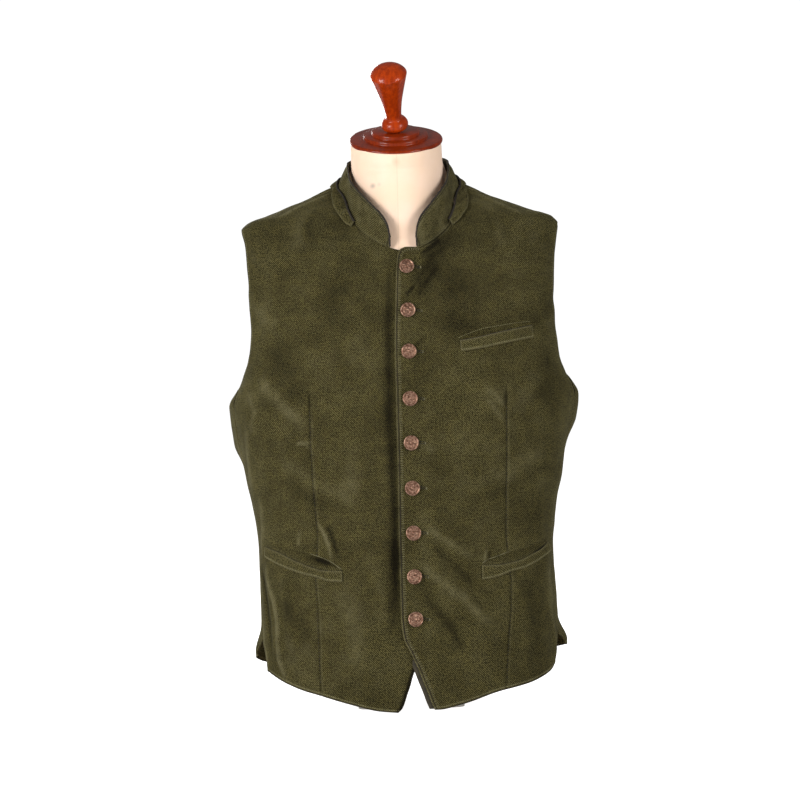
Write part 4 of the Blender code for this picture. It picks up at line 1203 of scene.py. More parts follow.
def surface_tree(thing):
    """Search tree over an object as its modifiers leave it."""
    return BVHTree.FromObject(thing, bpy.context.evaluated_depsgraph_get())


def front_hit(tree, x, height):
    """Place and outward direction of a front's face, seen from straight ahead."""
    place, normal, _, _ = tree.ray_cast(Vector((x * MM, -1.0, height * MM)), Vector((0, 1, 0)))
    return np.array(place) / MM, np.array(normal)


def laid_grid(tree, lower, upper, rows, columns):
    """Places on a front between two lines seen from ahead, and its outward directions there."""
    lower, upper = Table(("x", "height"), lower), Table(("x", "height"), upper)
    places = np.zeros((rows + 1, columns + 1, 3))
    normals = np.zeros_like(places)
    for column in range(columns + 1):
        share = column / columns
        low_x = lower.places[0] * (1 - share) + lower.places[-1] * share
        high_x = upper.places[0] * (1 - share) + upper.places[-1] * share
        low, high = lower.read(low_x, "height"), upper.read(high_x, "height")
        for row in range(rows + 1):
            up = row / rows
            place = low_x * (1 - up) + high_x * up, low * (1 - up) + high * up
            places[row, column], normals[row, column] = front_hit(tree, *place)
    return places, normals


def make_welt(name, tree, foot, top):
    """Crowned band of cloth lying on a front, with rubbed edges."""
    places, normals = laid_grid(tree, foot, top, WELT_ROWS, WELT_COLUMNS)
    crown = 0.7 * np.sin(np.pi * np.linspace(0, 1, WELT_ROWS + 1)) ** 0.6
    points = places + normals * (crown[:, None, None] + WELT_GAP - 0.5)
    reached, _ = spans(points, 1)
    up, _ = spans(points, 0)
    # The masks paint the troughs dark as shade; the foot is lighter
    masks = wear_highlight_and_shade_masks(soft_noise(reached, up, WELT_RISE), points)
    masks["rubbed"] = np.clip(masks["rubbed"] + 0.08 + 0.25 * ridge(up, 1.5, 1.5), 0, 1)
    wall = {"allowance": 0.004, "thickness": WELT_THICKNESS, "offset": 1.0}
    lay_sheet(f"{name}_cloth", points, (reached, up), masks, [VELVET], name, **wall)
    return points + normals * WELT_THICKNESS, normals


def make_notch_strip(points, normals):
    """Dark strip beside the over front's edge, at the notch, standing in as painted shadow under
    the edge.
    """
    rows = np.nonzero((points[:, 0, 2] < NOTCH_TOP) & (points[:, 0, 2] > NOTCH_FOOT))[0]
    edge, out = points[rows, 0], normals[rows, 0]
    beyond = unit(points[rows, 0] - points[rows, 2])
    width = NOTCH_STRIP * smooth_step((NOTCH_TOP - edge[:, 2]) / 14)
    across = np.linspace(-3, 1, 7)[None, :, None]
    reach = np.where(across > 0, across * width[:, None, None], across)
    grid = edge[:, None] - out[:, None] * (WALL + 0.5) + beyond[:, None] * reach
    reached, _ = spans(grid, 1)
    up, _ = spans(grid, 0)
    masks = {"rubbed": np.zeros(up.shape), "dark": np.zeros(up.shape)}
    lay_sheet("notch_shadow_strip", grid, (reached, up), masks, [FACING_AND_SHADE], **FACING_WALL)


def make_facing(name, tree, lower, upper):
    """Strip of velvet laid in a pocket's mouth, under its lip: painted a little dark all over as
    shade inside the mouth, and darkest at the slit where the pocket gapes, as painted shadow.
    """
    places, normals = laid_grid(tree, lower, upper, 10, WELT_COLUMNS)
    points = places + normals * 0.15
    reached, left = spans(points, 1)
    up, down = spans(points, 0)
    share = reached / (reached + left)
    centre, reach, row = SLITS[name]
    slit = ridge(share, centre, reach) * ridge(up / (up + down + 0.01), row, 0.22)
    # Painted shade over the strip and painted shadow at the slit; lighter near its foot
    masks = {"rubbed": 0.2 * ridge(up, 3, 2), "dark": np.clip(0.2 + 1.1 * slit, 0, 1)}
    lay_sheet(name, points, (reached, up), masks, [VELVET], **FACING_WALL)


def deselect_all():
    for thing in bpy.context.selected_objects:
        thing.select_set(False)


def select_only(thing):
    deselect_all()
    thing.select_set(True)
    bpy.context.view_layer.objects.active = thing


def turn_profile(name, profile, steps, material, smooth_angle=40):
    """Turns a half outline of radii and heights round the upright axis, as on a lathe."""
    deselect_all()
    bpy.ops.mesh.primitive_plane_add(size=MM)
    thing = bpy.context.object
    thing.name = thing.data.name = name
    bpy.ops.object.mode_set(mode="EDIT")
    bpy.ops.mesh.select_all(action="SELECT")
    bpy.ops.mesh.merge(type="CENTER")
    radius, height = profile[0]
    bpy.ops.transform.translate(value=(radius * MM, 0, height * MM))
    for (radius, height), (next_radius, next_height) in zip(profile, profile[1:]):
        step = ((next_radius - radius) * MM, 0, (next_height - height) * MM)
        bpy.ops.mesh.extrude_region_move(TRANSFORM_OT_translate={"value": step})
    bpy.ops.mesh.select_all(action="SELECT")
    bpy.ops.mesh.spin(steps=steps, angle=2 * math.pi, center=(0, 0, 0), axis=(0, 0, 1))
    bpy.ops.mesh.select_all(action="SELECT")
    bpy.ops.mesh.remove_doubles(threshold=0.000005)
    bpy.ops.mesh.normals_make_consistent(inside=False)
    bpy.ops.object.mode_set(mode="OBJECT")
    bpy.ops.object.shade_smooth_by_angle(angle=math.radians(smooth_angle))
    thing.data.materials.append(material)
    return thing


def set_down(thing, matrix):
    """Puts a finished piece in its place, with that place in its mesh."""
    thing.matrix_world = matrix
    select_only(thing)
    bpy.ops.object.transform_apply(location=True, rotation=True, scale=True)


def stand_for(thing, node):
    """Attaches a finished piece to the body and hides the imported part that it replaces."""
    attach(thing, BODY_NAME)
    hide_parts(node)


def arc_places(centre, radius, start, end, steps):
    """Places along an arc, by angle from the outward direction."""
    angles = np.radians(np.linspace(start, end, steps + 1))
    return [(centre[0] + radius * math.cos(a), centre[1] + radius * math.sin(a)) for a in angles]


def model_button():
    """Cast metal button: a raised rim round a sunk field with a rosette of bosses."""
    rim = arc_places((8.7, 3.0), 1.1, 150, -40, 10)
    field = [(0.0, 3.2), (3.0, 3.1), (6.0, 2.9), (7.3, 2.7)]
    back = [(8.4, 0.4), (8.0, 0.0), (0.0, 0.0)]
    button = turn_profile("button", field + rim + back, 40, BUTTON_METAL)
    parts = [button]
    for count, first, distance, radius, rise in BUTTON_BOSSES:
        for angle in np.radians(first + 360 / count * np.arange(count)):
            x, y = distance * math.cos(angle) * MM, distance * math.sin(angle) * MM
            deselect_all()
            bpy.ops.mesh.primitive_uv_sphere_add(
                segments=14, ring_count=8, radius=radius * MM, location=(x, y, BOSS_HEIGHT * MM)
            )
            boss = bpy.context.object
            boss.scale = (1, 1, rise / radius)
            bpy.ops.object.transform_apply(location=True, rotation=True, scale=True)
            bpy.ops.object.shade_smooth()
            boss.data.materials.append(BUTTON_METAL)
            parts.append(boss)
    deselect_all()
    for part in parts:
        part.select_set(True)
    bpy.context.view_layer.objects.active = button
    bpy.ops.object.join()
    return button


def button_seat(tree, height):
    """Place and outward direction of a button's back, just clear of the cloth under it."""
    centre, _ = front_hit(tree, BUTTON_FROM_CENTRE, height)
    hits = []
    for angle in np.radians(np.arange(0, 360, 45)):
        x = BUTTON_FROM_CENTRE + BUTTON_RADIUS * math.sin(angle)
        hits.append(front_hit(tree, x, height + BUTTON_RADIUS * math.cos(angle)))
    normal = unit(sum(normal for _, normal in hits))
    highest = max((place - centre).dot(normal) for place, _ in hits)
    return centre + normal * (max(highest, 0.0) + 0.1), normal


def copied(thing, name):
    twin = thing.copy()
    twin.data = thing.data.copy()
    twin.name = twin.data.name = name
    bpy.context.scene.collection.objects.link(twin)
    return twin


def make_buttons(tree):
    pattern = model_button()
    for number, height in enumerate(BUTTON_HEIGHTS, start=1):
        place, normal = button_seat(tree, height)
        button = copied(pattern, f"button_{number}_metal")
        turn = Matrix.Rotation(BUTTON_TURNS[number - 1], 4, "Z")
        facing = Vector(normal).to_track_quat("Z", "Y").to_matrix().to_4x4()
        set_down(button, Matrix.Translation(Vector(place * MM)) @ facing @ turn)
        stand_for(button, f"button_{number}")
    bpy.data.objects.remove(pattern, do_unlink=True)


def soft_largest(first, second):
    """The larger of two lengths, rounded where they meet."""
    gap = np.abs(first - second) / JOIN_SOFTNESS
    return np.maximum(first, second) + JOIN_SOFTNESS * np.log(1 + np.exp(-gap))


def neck_radius(azimuth, height):
    """Distance from the upright axis to the neck's round section."""
    angle = np.radians(azimuth)
    x, y = NECK.read(height, "centre_x"), NECK.read(height, "centre_y")
    along = x * np.sin(angle) - y * np.cos(angle)
    return along + np.sqrt(NECK.read(height, "radius") ** 2 - x * x - y * y + along**2)


def torso_radius(azimuth, height):
    """Distance from the upright axis to the form's own surface."""
    shell = body_radius(azimuth, height, eased=True)
    neck = neck_radius(azimuth, np.maximum(height, NECK_FROM))
    return np.where(height < NECK_FROM, shell, soft_largest(shell, neck))


def make_torso():
    """The linen-covered form, closed at its foot, where the board lies, and under the cap."""
    heights = np.concatenate([np.linspace(*stretch) for stretch in TORSO_ROWS])[:, None]
    azimuth = np.linspace(0, 360, TORSO_COLUMNS + 1)[None, :]
    radius = torso_radius(azimuth, heights)
    angle = np.radians(azimuth)
    x, y = radius * np.sin(angle), -radius * np.cos(angle)
    tilt = np.tan(math.radians(CAP_TILT) * smooth_step((heights - TILT_FROM) / TILT_OVER))
    points = np.stack([x, y, heights + (y - CAP_CENTRE[1]) * tilt], axis=-1)
    place = np.stack([spans(points, 1)[0], spans(points, 0)[0]], axis=-1)
    rows, columns = len(heights), TORSO_COLUMNS
    corner = np.arange(rows * columns).reshape(rows, columns)
    following = np.roll(corner, -1, axis=1)
    faces = np.stack([corner[:-1], following[:-1], following[1:], corner[1:]], axis=-1)
    faces = faces.reshape(-1, 4).tolist()
    quads = np.stack([place[:-1, :-1], place[:-1, 1:], place[1:, 1:], place[1:, :-1]], axis=2)
    ends = [list(reversed(corner[0].tolist())), corner[-1].tolist()]
    mesh = bpy.data.meshes.new("form_torso_linen")
    mesh.from_pydata((points[:, :-1].reshape(-1, 3) * MM).tolist(), [], faces + ends)
    layer = mesh.uv_layers.new(name="Cloth")
    loops = np.zeros((len(mesh.loops), 2))
    loops[: quads.size // 2] = quads.reshape(-1, 2) * MM
    layer.data.foreach_set("uv", loops.ravel())
    mesh.shade_smooth()
    mesh.set_sharp_from_angle(angle=math.radians(40))
    mesh.materials.append(LINEN)
    thing = bpy.data.objects.new("form_torso_linen", mesh)
    CLOTH.objects.link(thing)
    stand_for(thing, "form_torso")


def cap_profile():
    """Three turned steps, the lowest one wider than the neck, top to bottom."""
    steps = [(0, 16.5), (30.6, 16.5), (31.6, 16.1), (32, 15.2), (32, 12.8), (32.3, 12.0)]
    steps += [(33.5, 11.6), (41.5, 11.6), (42.6, 11.2), (43, 10.2), (43, 8.2), (43.3, 7.4)]
    steps += [(44.5, 7.0), (52, 6.8), (58.5, 6.2)]
    return steps + arc_places((59.5, 3.2), 3.0, 75, -75, 10) + [(58.5, 0.3), (0, 0.3)]


def handle_profile():
    """Ball, waist and widening grip under a domed end, top to bottom."""
    dome = [(0, 100), (4, 99.8), (8, 99.3), (12, 98.4), (15, 97.2), (18, 95.5), (20.5, 93.5)]
    dome += [(22.3, 91.6), (23.6, 89.9), (24.2, 88.8), (24.3, 88.0), (24.1, 87.0), (23.5, 84.8)]
    grip = [(22.2, 80), (20.6, 74), (19.0, 68), (17.4, 62), (15.7, 55.5), (14.1, 49)]
    grip += [(13.0, 43.5), (12.1, 38), (11.3, 33), (10.8, 29), (10.5, 26), (10.5, 23)]
    ball = [(10.8, 20.8), (11.6, 19.4), (13.2, 18.5), (14.8, 17.2), (16.2, 15.5), (17.2, 13.7)]
    ball += [(17.8, 12), (18, 10.2), (17.8, 8.6), (17.2, 7.2), (15.6, 5.7), (14, 5.0)]
    return dome + grip + ball + [(12, 4.3), (6, 2.9), (0, 2.9)]


def make_cap_and_handle():
    tilt = Matrix.Rotation(math.radians(CAP_TILT), 4, "X")
    tilted = Matrix.Translation(Vector(CAP_CENTRE) * MM) @ tilt
    cap = turn_profile("form_cap_mahogany", cap_profile(), 96, SHADED_CAP_WOOD)
    set_down(cap, tilted)
    seat = tilted @ Matrix.Translation(Vector((0, 0, 16.5 * MM)))
    forward = Matrix.Rotation(math.radians(HANDLE_LEAN_FORWARD - CAP_TILT), 4, "X")
    aside = Matrix.Rotation(math.radians(-HANDLE_LEAN_RIGHT), 4, "Y")
    handle = turn_profile("form_handle_mahogany", handle_profile(), 72, MAHOGANY)
    set_down(handle, seat @ forward @ aside)
    for thing, node in ((cap, "form_cap"), (handle, "form_handle")):
        stand_for(thing, node)


def make_cords(name, paths, radius, material):
    """Thin cords along paths of places, such as an edge's binding or a buttonhole's lips."""
    curve = bpy.data.curves.new(name, "CURVE")
    curve.dimensions = "3D"
    for path in paths:
        spline = curve.splines.new("POLY")
        spline.points.add(len(path) - 1)
        flat_path = np.concatenate([np.array(path) * MM, np.ones((len(path), 1))], axis=1)
        spline.points.foreach_set("co", flat_path.ravel())
    curve.bevel_depth = radius * MM
    curve.bevel_resolution = 1
    curve.use_fill_caps = True
    thing = bpy.data.objects.new(name, curve)
    bpy.context.scene.collection.objects.link(thing)
    select_only(thing)
    bpy.ops.object.convert(target="MESH")
    return finish_sewing(bpy.context.object, material)


def finish_sewing(thing, material):
    thing.data.materials.append(material)
    thing.data.shade_smooth()
    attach(thing, BODY_NAME)
    return thing


def inset_line(points, normals, edge, inset, lift=0.0):
    """Line on a sheet's face that runs a distance inside one of its edges, with its directions."""
    if edge in ("bottom", "top"):
        points, normals = points.swapaxes(0, 1), normals.swapaxes(0, 1)
    if edge in ("outer", "top"):
        points, normals = points[:, ::-1], normals[:, ::-1]
    reached, _ = spans(points, 1)
    line, facing = [], []
    for row in range(len(points)):
        for values, kept in ((points[row], line), (normals[row], facing)):
            kept.append([np.interp(inset, reached[row], values[:, k]) for k in range(3)])
    facing = unit(np.array(facing))
    return np.array(line) + facing * lift, facing


def model_stitch():
    """One short thread, thick in the middle, along the x axis."""
    deselect_all()
    bpy.ops.mesh.primitive_uv_sphere_add(segments=5, ring_count=4, radius=1.0)
    pattern = bpy.context.object
    bpy.ops.object.mode_set(mode="EDIT")
    bpy.ops.mesh.select_all(action="SELECT")
    bpy.ops.transform.rotate(value=math.pi / 2, orient_axis="Y", center_override=(0, 0, 0))
    bpy.ops.object.mode_set(mode="OBJECT")
    vertices = np.array([tuple(vertex.co) for vertex in pattern.data.vertices])
    faces = [tuple(polygon.vertices) for polygon in pattern.data.polygons]
    bpy.data.objects.remove(pattern, do_unlink=True)
    return vertices, faces


def make_stitches(name, lines, material, length=STITCH_LENGTH, period=STITCH_PERIOD, across=False):
    """Rows of stitches along lines, each a short thread on the cloth."""
    vertices, faces = [], []
    for line, facing in lines:
        steps = np.linalg.norm(np.diff(line, axis=0), axis=1)
        whole = steps.sum()
        count = max(int(whole / period), 1)
        share = (np.arange(count) + 0.5) / count
        places = resample(line, share)
        ahead = unit(resample(line, np.minimum(share + 0.4 / count, 1)) - places)
        reached = np.concatenate(([0.0], np.cumsum(steps))) / whole
        out = unit(np.stack([np.interp(share, reached, facing[:, k]) for k in range(3)], axis=1))
        side = unit(np.cross(out, ahead))
        if across:
            ahead, side = side, ahead
        for place, x, y, z in zip(places, ahead, side, out):
            sizes = np.array((length / 2, STITCH_RADIUS, STITCH_RADIUS))
            local = STITCH_PATTERN[0] * sizes
            first = len(vertices) * len(local)
            vertices.append(place + local[:, :1] * x + local[:, 1:2] * y + local[:, 2:] * z)
            faces += [tuple(first + corner for corner in face) for face in STITCH_PATTERN[1]]
    mesh = bpy.data.meshes.new(name)
    mesh.from_pydata((np.concatenate(vertices) * MM).tolist(), [], faces)
    thing = bpy.data.objects.new(name, mesh)
    CLOTH.objects.link(thing)
    select_only(thing)
    bpy.ops.object.mode_set(mode="EDIT")
    bpy.ops.mesh.select_all(action="SELECT")
    bpy.ops.mesh.normals_make_consistent(inside=False)
    bpy.ops.object.mode_set(mode="OBJECT")
    return finish_sewing(thing, material)


def sew_panels(panels):
    """Edge bindings, rows of stitches along hems, armholes and the front, and the back's seam."""
    bindings, edges = [], []
    arm_from = (VENT_ROWS + SEAM_ROWS) * ROW_SPLIT + 6
    for _, points, normals in panels.values():
        for edge, start in (("bottom", 0), ("outer", arm_from)):
            bindings.append(inset_line(points, normals, edge, *BINDING_LINE)[0][start:])
            line, facing = inset_line(points, normals, edge, EDGE_STITCH_INSET, 0.1)
            edges.append((line[start:], facing[start:]))
    make_cords("edge_binding", bindings, CORD_RADIUS, EDGING_AND_SHADE)
    make_stitches("edge_stitches", edges, THREAD)
    _, points, normals = panels["front_left"]
    edge_top = EDGE_ROWS * ROW_SPLIT
    line, facing = inset_line(points, normals, "inner", PLACKET_STITCH_INSET, 0.05)
    sewn = [(line[4:edge_top], facing[4:edge_top])]
    spacing = PUCKER_LENGTH, PUCKER_PERIOD
    make_stitches("placket_stitches", sewn, RUBBED_EDGE, *spacing, across=True)
    # Dark cord sunk in the groove inside the over front's edge, as painted shade in the groove
    line, facing = inset_line(points, normals, "inner", 2.7, -0.35)
    make_cords("placket_groove", [line[2:edge_top]], 0.5, EDGING_AND_SHADE)
    _, points, normals = panels["front_right"]
    line, facing = inset_line(points, normals, "inner", *BINDING_LINE)
    make_cords("under_edge_binding", [line[:edge_top]], CORD_RADIUS, EDGING_AND_SHADE)
    _, points, normals = panels["back_left"]
    make_cords("back_seam", [points[:, 0] - normals[:, 0] * 0.9], 0.7, EDGING_AND_SHADE)


def sew_darts(trees):
    """Dark stitches down each dart, where the welt doesn't hide them."""
    for name, dart in (("left", DART_LEFT), ("right", DART_RIGHT)):
        x, height = np.array(dart, float).T
        heights = np.linspace(height[0] - 14, height[-1] + 12, 130)
        across = np.interp(heights, height[::-1], x[::-1])
        hits = [front_hit(trees[f"front_{name}"], *place) for place in zip(across, heights)]
        places, facing = np.array(hits).swapaxes(0, 1)
        sewn = [(places + facing * 0.12, facing)]
        make_stitches(f"dart_{name}_stitches", sewn, DARK_THREAD, 2.3, DART_STITCH_PERIOD)


def laid_line(tree, line, lift):
    """A pocket's line lifted off the front, with the way that it faces at each place."""
    places, normals = laid_grid(tree, line, line, 1, WELT_COLUMNS)
    return places[0] + normals[0] * lift, normals[0]


def sew_pockets(trees, welts):
    """Lips, facings and stitches of the three pocket mouths; the facings are darkened as painted
    shade, and a dark cord in the chest pocket's mouth is painted shadow.
    """
    fifth = WELT_COLUMNS // 5
    for name, front, _, top, lip in POCKETS:
        side = name.split("_")[1]
        sewn = [inset_line(*welts[name], "bottom", 1.8, 0.1)]
        if side == "chest":
            sewn.append(laid_line(trees[front], lip, 0.15))
            mouth, _ = laid_line(trees[front], top, 0.4)
            # Dark cord along the chest pocket's mouth, as painted shadow in its gap
            make_cords("pocket_chest_mouth", [mouth + (0, 0, 0.6)], 0.7, EDGING_AND_SHADE)
        else:
            make_facing(f"pocket_{side}_facing", trees[front], top, lip)
            inner = slice(0, 2 * fifth) if side == "left" else slice(3 * fifth, None)
            lifted, _ = laid_line(trees[front], lip, 0.5)
            make_cords(f"pocket_{side}_lip", [lifted[inner]], LIP_RADIUS, RUBBED_EDGE)
            mouth, facing = laid_line(trees[front], top, 0.5)
            stitched = [(mouth + (0, 0, 0.5), facing)]
            make_stitches(f"pocket_{side}_mouth", stitched, DARK_THREAD, 2.4, 3.0)
        make_stitches(f"{name}_stitches", sewn, THREAD, 1.6, 2.6)


def sew_buttonholes(tree):
    """Two worked lips and a knot beside each button, dipping a little to the wearer's left."""
    lips, knots = [], []
    for height in BUTTON_HEIGHTS:
        rows = []
        for offset in (-HOLE_HALF_WIDTH, HOLE_HALF_WIDTH):
            row = []
            for share in np.linspace(0, 1, 8):
                up = height + offset + 0.8 - HOLE_DROP * share
                place, normal = front_hit(tree, HOLE_START + HOLE_LENGTH * share, up)
                row.append(place + normal * 0.2)
            rows.append(row)
        lips += rows
        ends = (rows[0][-1] + (0.4, 0, -0.2), rows[1][-1] + (0.4, 0, 0.2))
        knots.append([ends[0], (ends[0] + ends[1]) / 2 + (0.3, -0.2, 0), ends[1]])
    make_cords("buttonhole_lips", lips, HOLE_CORD, DARK_THREAD)
    make_cords("buttonhole_knots", knots, HOLE_KNOT, RUBBED_EDGE)


def sew_collar(stand, roll):
    """Dark cord round the stand's free edges, a dark cord along the roll's top as painted shadow in
    the slit between roll and stand, and a row of stitches beside the stand's edge.
    """
    points, out = stand
    first = round(STAND_ROWS * STAND_TUCK) + 1
    ends = points[first:, 0], points[::-1, -1][: STAND_ROWS + 1 - first]
    rim = np.concatenate([ends[0][:-1], points[-1], ends[1][1:]])
    make_cords("collar_cord", [rim], 1.2, EDGING_AND_SHADE)
    # Painted shadow: a dark cord in the slit between the roll and the stand
    make_cords("collar_slit_shadow", [roll[0] - unit(roll[0] * (1, 1, 0)) * 0.5], 1.5, EDGING_AND_SHADE)
    line, facing = inset_line(points, out, "top", EDGE_STITCH_INSET, 0.1)
    make_stitches("collar_stitches", [(line, facing)], THREAD, 1.7, 2.8)


# Materials

def new_material(name, **sockets):
    """New material with its plain values set, its node tree and its shader."""
    material = bpy.data.materials.new(name)
    material.use_nodes = True
    shader = material.node_tree.nodes["Principled BSDF"]
    for key, value in sockets.items():
        shader.inputs[key.replace("_", " ")].default_value = value
    return material, material.node_tree, shader


def add_node(tree, kind, inputs=None, **settings):
    """Node with its settings, its inputs given as numbers or as other nodes' outputs."""
    node = tree.nodes.new(kind)
    for key, value in settings.items():
        setattr(node, key, value)
    for key, value in (inputs or {}).items():
        if isinstance(value, bpy.types.NodeSocket):
            tree.links.new(value, node.inputs[key])
        else:
            node.inputs[key].default_value = value
    return node


def sums(tree, operation, *values, clamp=False):
    """Result of one sum on numbers or on other nodes' outputs."""
    inputs = dict(enumerate(values))
    return add_node(tree, "ShaderNodeMath", inputs, operation=operation, use_clamp=clamp).outputs[0]


def vector_sums(tree, operation, inputs):
    return add_node(tree, "ShaderNodeVectorMath", inputs, operation=operation).outputs[0]


def noise(tree, place, scale, **more):
    return add_node(tree, "ShaderNodeTexNoise", {"Vector": place, "Scale": scale, **more}).outputs


def stepped(tree, value, low, high):
    """Soft step from 0 at the low value to 1 at the high one."""
    inputs = {"Value": value, "From Min": low, "From Max": high}
    node = add_node(tree, "ShaderNodeMapRange", inputs, interpolation_type="SMOOTHSTEP")
    return node.outputs["Result"]


def object_place(tree):
    return add_node(tree, "ShaderNodeTexCoord").outputs["Object"]


def cloth_place(tree):
    return add_node(tree, "ShaderNodeUVMap", uv_map="Cloth").outputs[0]


def mixed(tree, share, first, second, blend="MIX"):
    """First colour turning into the second one, or multiplied by it, as the share rises."""
    inputs = {0: share}
    for number, colour in ((6, first), (7, second)):
        inputs[number] = (*colour, 1.0) if isinstance(colour, tuple) else colour
    return add_node(tree, "ShaderNodeMix", inputs, data_type="RGBA", blend_type=blend).outputs[2]


def tinted(tree, share, colour, tint):
    """Colour multiplied by a tint where the share is high."""
    return mixed(tree, share, colour, mixed(tree, 1.0, colour, tint, blend="MULTIPLY"))


def dress_surface(tree, shader, colour, height, strength, depth=0.0003):
    """Gives a shader its colour and its fine relief."""
    relief = {"Height": height, "Strength": strength, "Distance": depth}
    tree.links.new(colour, shader.inputs["Base Color"])
    tree.links.new(add_node(tree, "ShaderNodeBump", relief).outputs[0], shader.inputs["Normal"])


def new_group(name, inputs, outputs):
    group = bpy.data.node_groups.new(name, "ShaderNodeTree")
    for socket_name, kind, value in inputs:
        socket = group.interface.new_socket(name=socket_name, in_out="INPUT", socket_type=kind)
        if value is not None:
            socket.default_value = value
    for socket_name, kind in outputs:
        group.interface.new_socket(name=socket_name, in_out="OUTPUT", socket_type=kind)
    inside = group.nodes.new("NodeGroupInput")
    out = group.nodes.new("NodeGroupOutput")
    return group, inside.outputs, out.inputs


def lattice_group():
    """Fine lattice of raised diagonal ribs: how much thread shows at a place, and its height."""
    group, given, out = new_group(
        "Diagonal lattice",
        (
            ("Flat place", "NodeSocketVector", None),
            ("Period", "NodeSocketFloat", 0.003),
            ("Waviness", "NodeSocketFloat", 0.0003),
        ),
        (("Thread", "NodeSocketFloat"), ("Height", "NodeSocketFloat")),
    )
    wander = noise(group, given["Flat place"], 140.0, Detail=2.0)["Color"]
    wander = vector_sums(group, "SUBTRACT", {0: wander, 1: (0.5, 0.5, 0.5)})
    wander = vector_sums(group, "SCALE", {0: wander, "Scale": given["Waviness"]})
    place = vector_sums(group, "ADD", {0: given["Flat place"], 1: wander})
    parts = add_node(group, "ShaderNodeSeparateXYZ", {0: place})
    turns = sums(group, "DIVIDE", 2 * math.pi, given["Period"])
    ribs = []
    for operation in ("ADD", "SUBTRACT"):
        along = sums(group, operation, parts.outputs[0], parts.outputs[1])
        ribs.append(sums(group, "COSINE", sums(group, "MULTIPLY", along, turns)))
    weaker = sums(group, "MULTIPLY_ADD", ribs[1], 0.75, -0.25)
    top = sums(group, "SMOOTH_MAX", ribs[0], weaker, 0.3)
    level = sums(group, "MULTIPLY_ADD", top, 0.5, 0.5, clamp=True)
    group.links.new(stepped(group, level, 0.53, 0.94), out["Thread"])
    group.links.new(level, out["Height"])
    return group


def blotch_group():
    """Soft uneven patches at a chosen size, between 0 and 1."""
    group, given, out = new_group(
        "Uneven patches",
        (
            ("Place", "NodeSocketVector", None),
            ("Scale", "NodeSocketFloat", 60.0),
            ("Low", "NodeSocketFloat", 0.35),
            ("High", "NodeSocketFloat", 0.7),
        ),
        (("Amount", "NodeSocketFloat"),),
    )
    level = noise(group, given["Place"], given["Scale"], Detail=3.0)["Fac"]
    group.links.new(stepped(group, level, given["Low"], given["High"]), out["Amount"])
    return group


def use_group(tree, group, **inputs):
    """Outputs of a group, its inputs named with an underscore for each space."""
    given = {key.replace("_", " "): value for key, value in inputs.items()}
    return add_node(tree, "ShaderNodeGroup", given, node_tree=group).outputs


def patches(tree, place, scale, low, high):
    return use_group(tree, PATCHES, Place=place, Scale=scale, Low=low, High=high)[0]


def velvet_material(name, thread, gap, rubbed):
    """Olive pile on a diagonal lattice, lighter where its rubbed mask lies, as rubbed wear and
    painted highlight, and darker where its dark mask lies, as painted shade and dark seams.
    """
    pile = {"Sheen_Weight": SHEEN, "Sheen_Roughness": 0.4, "Sheen_Tint": (0.5, 0.46, 0.26, 1.0)}
    material, tree, shader = new_material(name, Roughness=0.92, Specular_IOR_Level=0.08, **pile)
    place = cloth_place(tree)
    weave = use_group(tree, LATTICE, Flat_place=place, Period=LATTICE_PERIOD, Waviness=0.0007)
    small = patches(tree, place, 75.0, 0.36, 0.68)
    large = patches(tree, place, 18.0, 0.35, 0.7)
    specks = patches(tree, place, 520.0, 0.3, 0.72)
    wear_and_highlight, dark = (
        add_node(tree, "ShaderNodeAttribute", attribute_name=mask).outputs["Fac"]
        for mask in ("rubbed", "dark")
    )
    uneven = sums(tree, "MULTIPLY_ADD", specks, 1.3, 0.15)
    contrast = sums(tree, "MULTIPLY", weave["Thread"], uneven)
    contrast = sums(tree, "MULTIPLY_ADD", specks, 0.14, contrast, clamp=True)
    colour = mixed(tree, contrast, gap, thread)
    colour = tinted(tree, small, colour, (1.24, 1.22, 1.12))
    colour = tinted(tree, large, colour, (0.76, 0.75, 0.72))
    # Rubbed colour: rubbed wear and painted highlight
    wear_and_highlight_share = sums(tree, "MULTIPLY_ADD", contrast, 0.5, 0.42)
    colour = mixed(tree, sums(tree, "MULTIPLY", wear_and_highlight, wear_and_highlight_share, clamp=True), colour, rubbed)
    # Darker: painted shade in troughs and recesses, and dark seam lines
    dark_share = sums(tree, "MULTIPLY", dark, 0.95, clamp=True)
    colour = tinted(tree, dark_share, colour, (0.1, 0.09, 0.07))
    height = sums(tree, "MULTIPLY_ADD", specks, 0.4, weave["Height"])
    dress_surface(tree, shader, colour, height, 0.55, 0.0004)
    return material


def plain_cloth_material(name, colour, darker, scale, roughness):
    """Plain woven lining or tape, a little uneven."""
    material, tree, shader = new_material(name, Roughness=roughness)
    place = object_place(tree)
    colour = mixed(tree, patches(tree, place, scale, 0.3, 0.7), darker, colour)
    dress_surface(tree, shader, colour, noise(tree, place, 1500.0)["Fac"], 0.4)
    return material


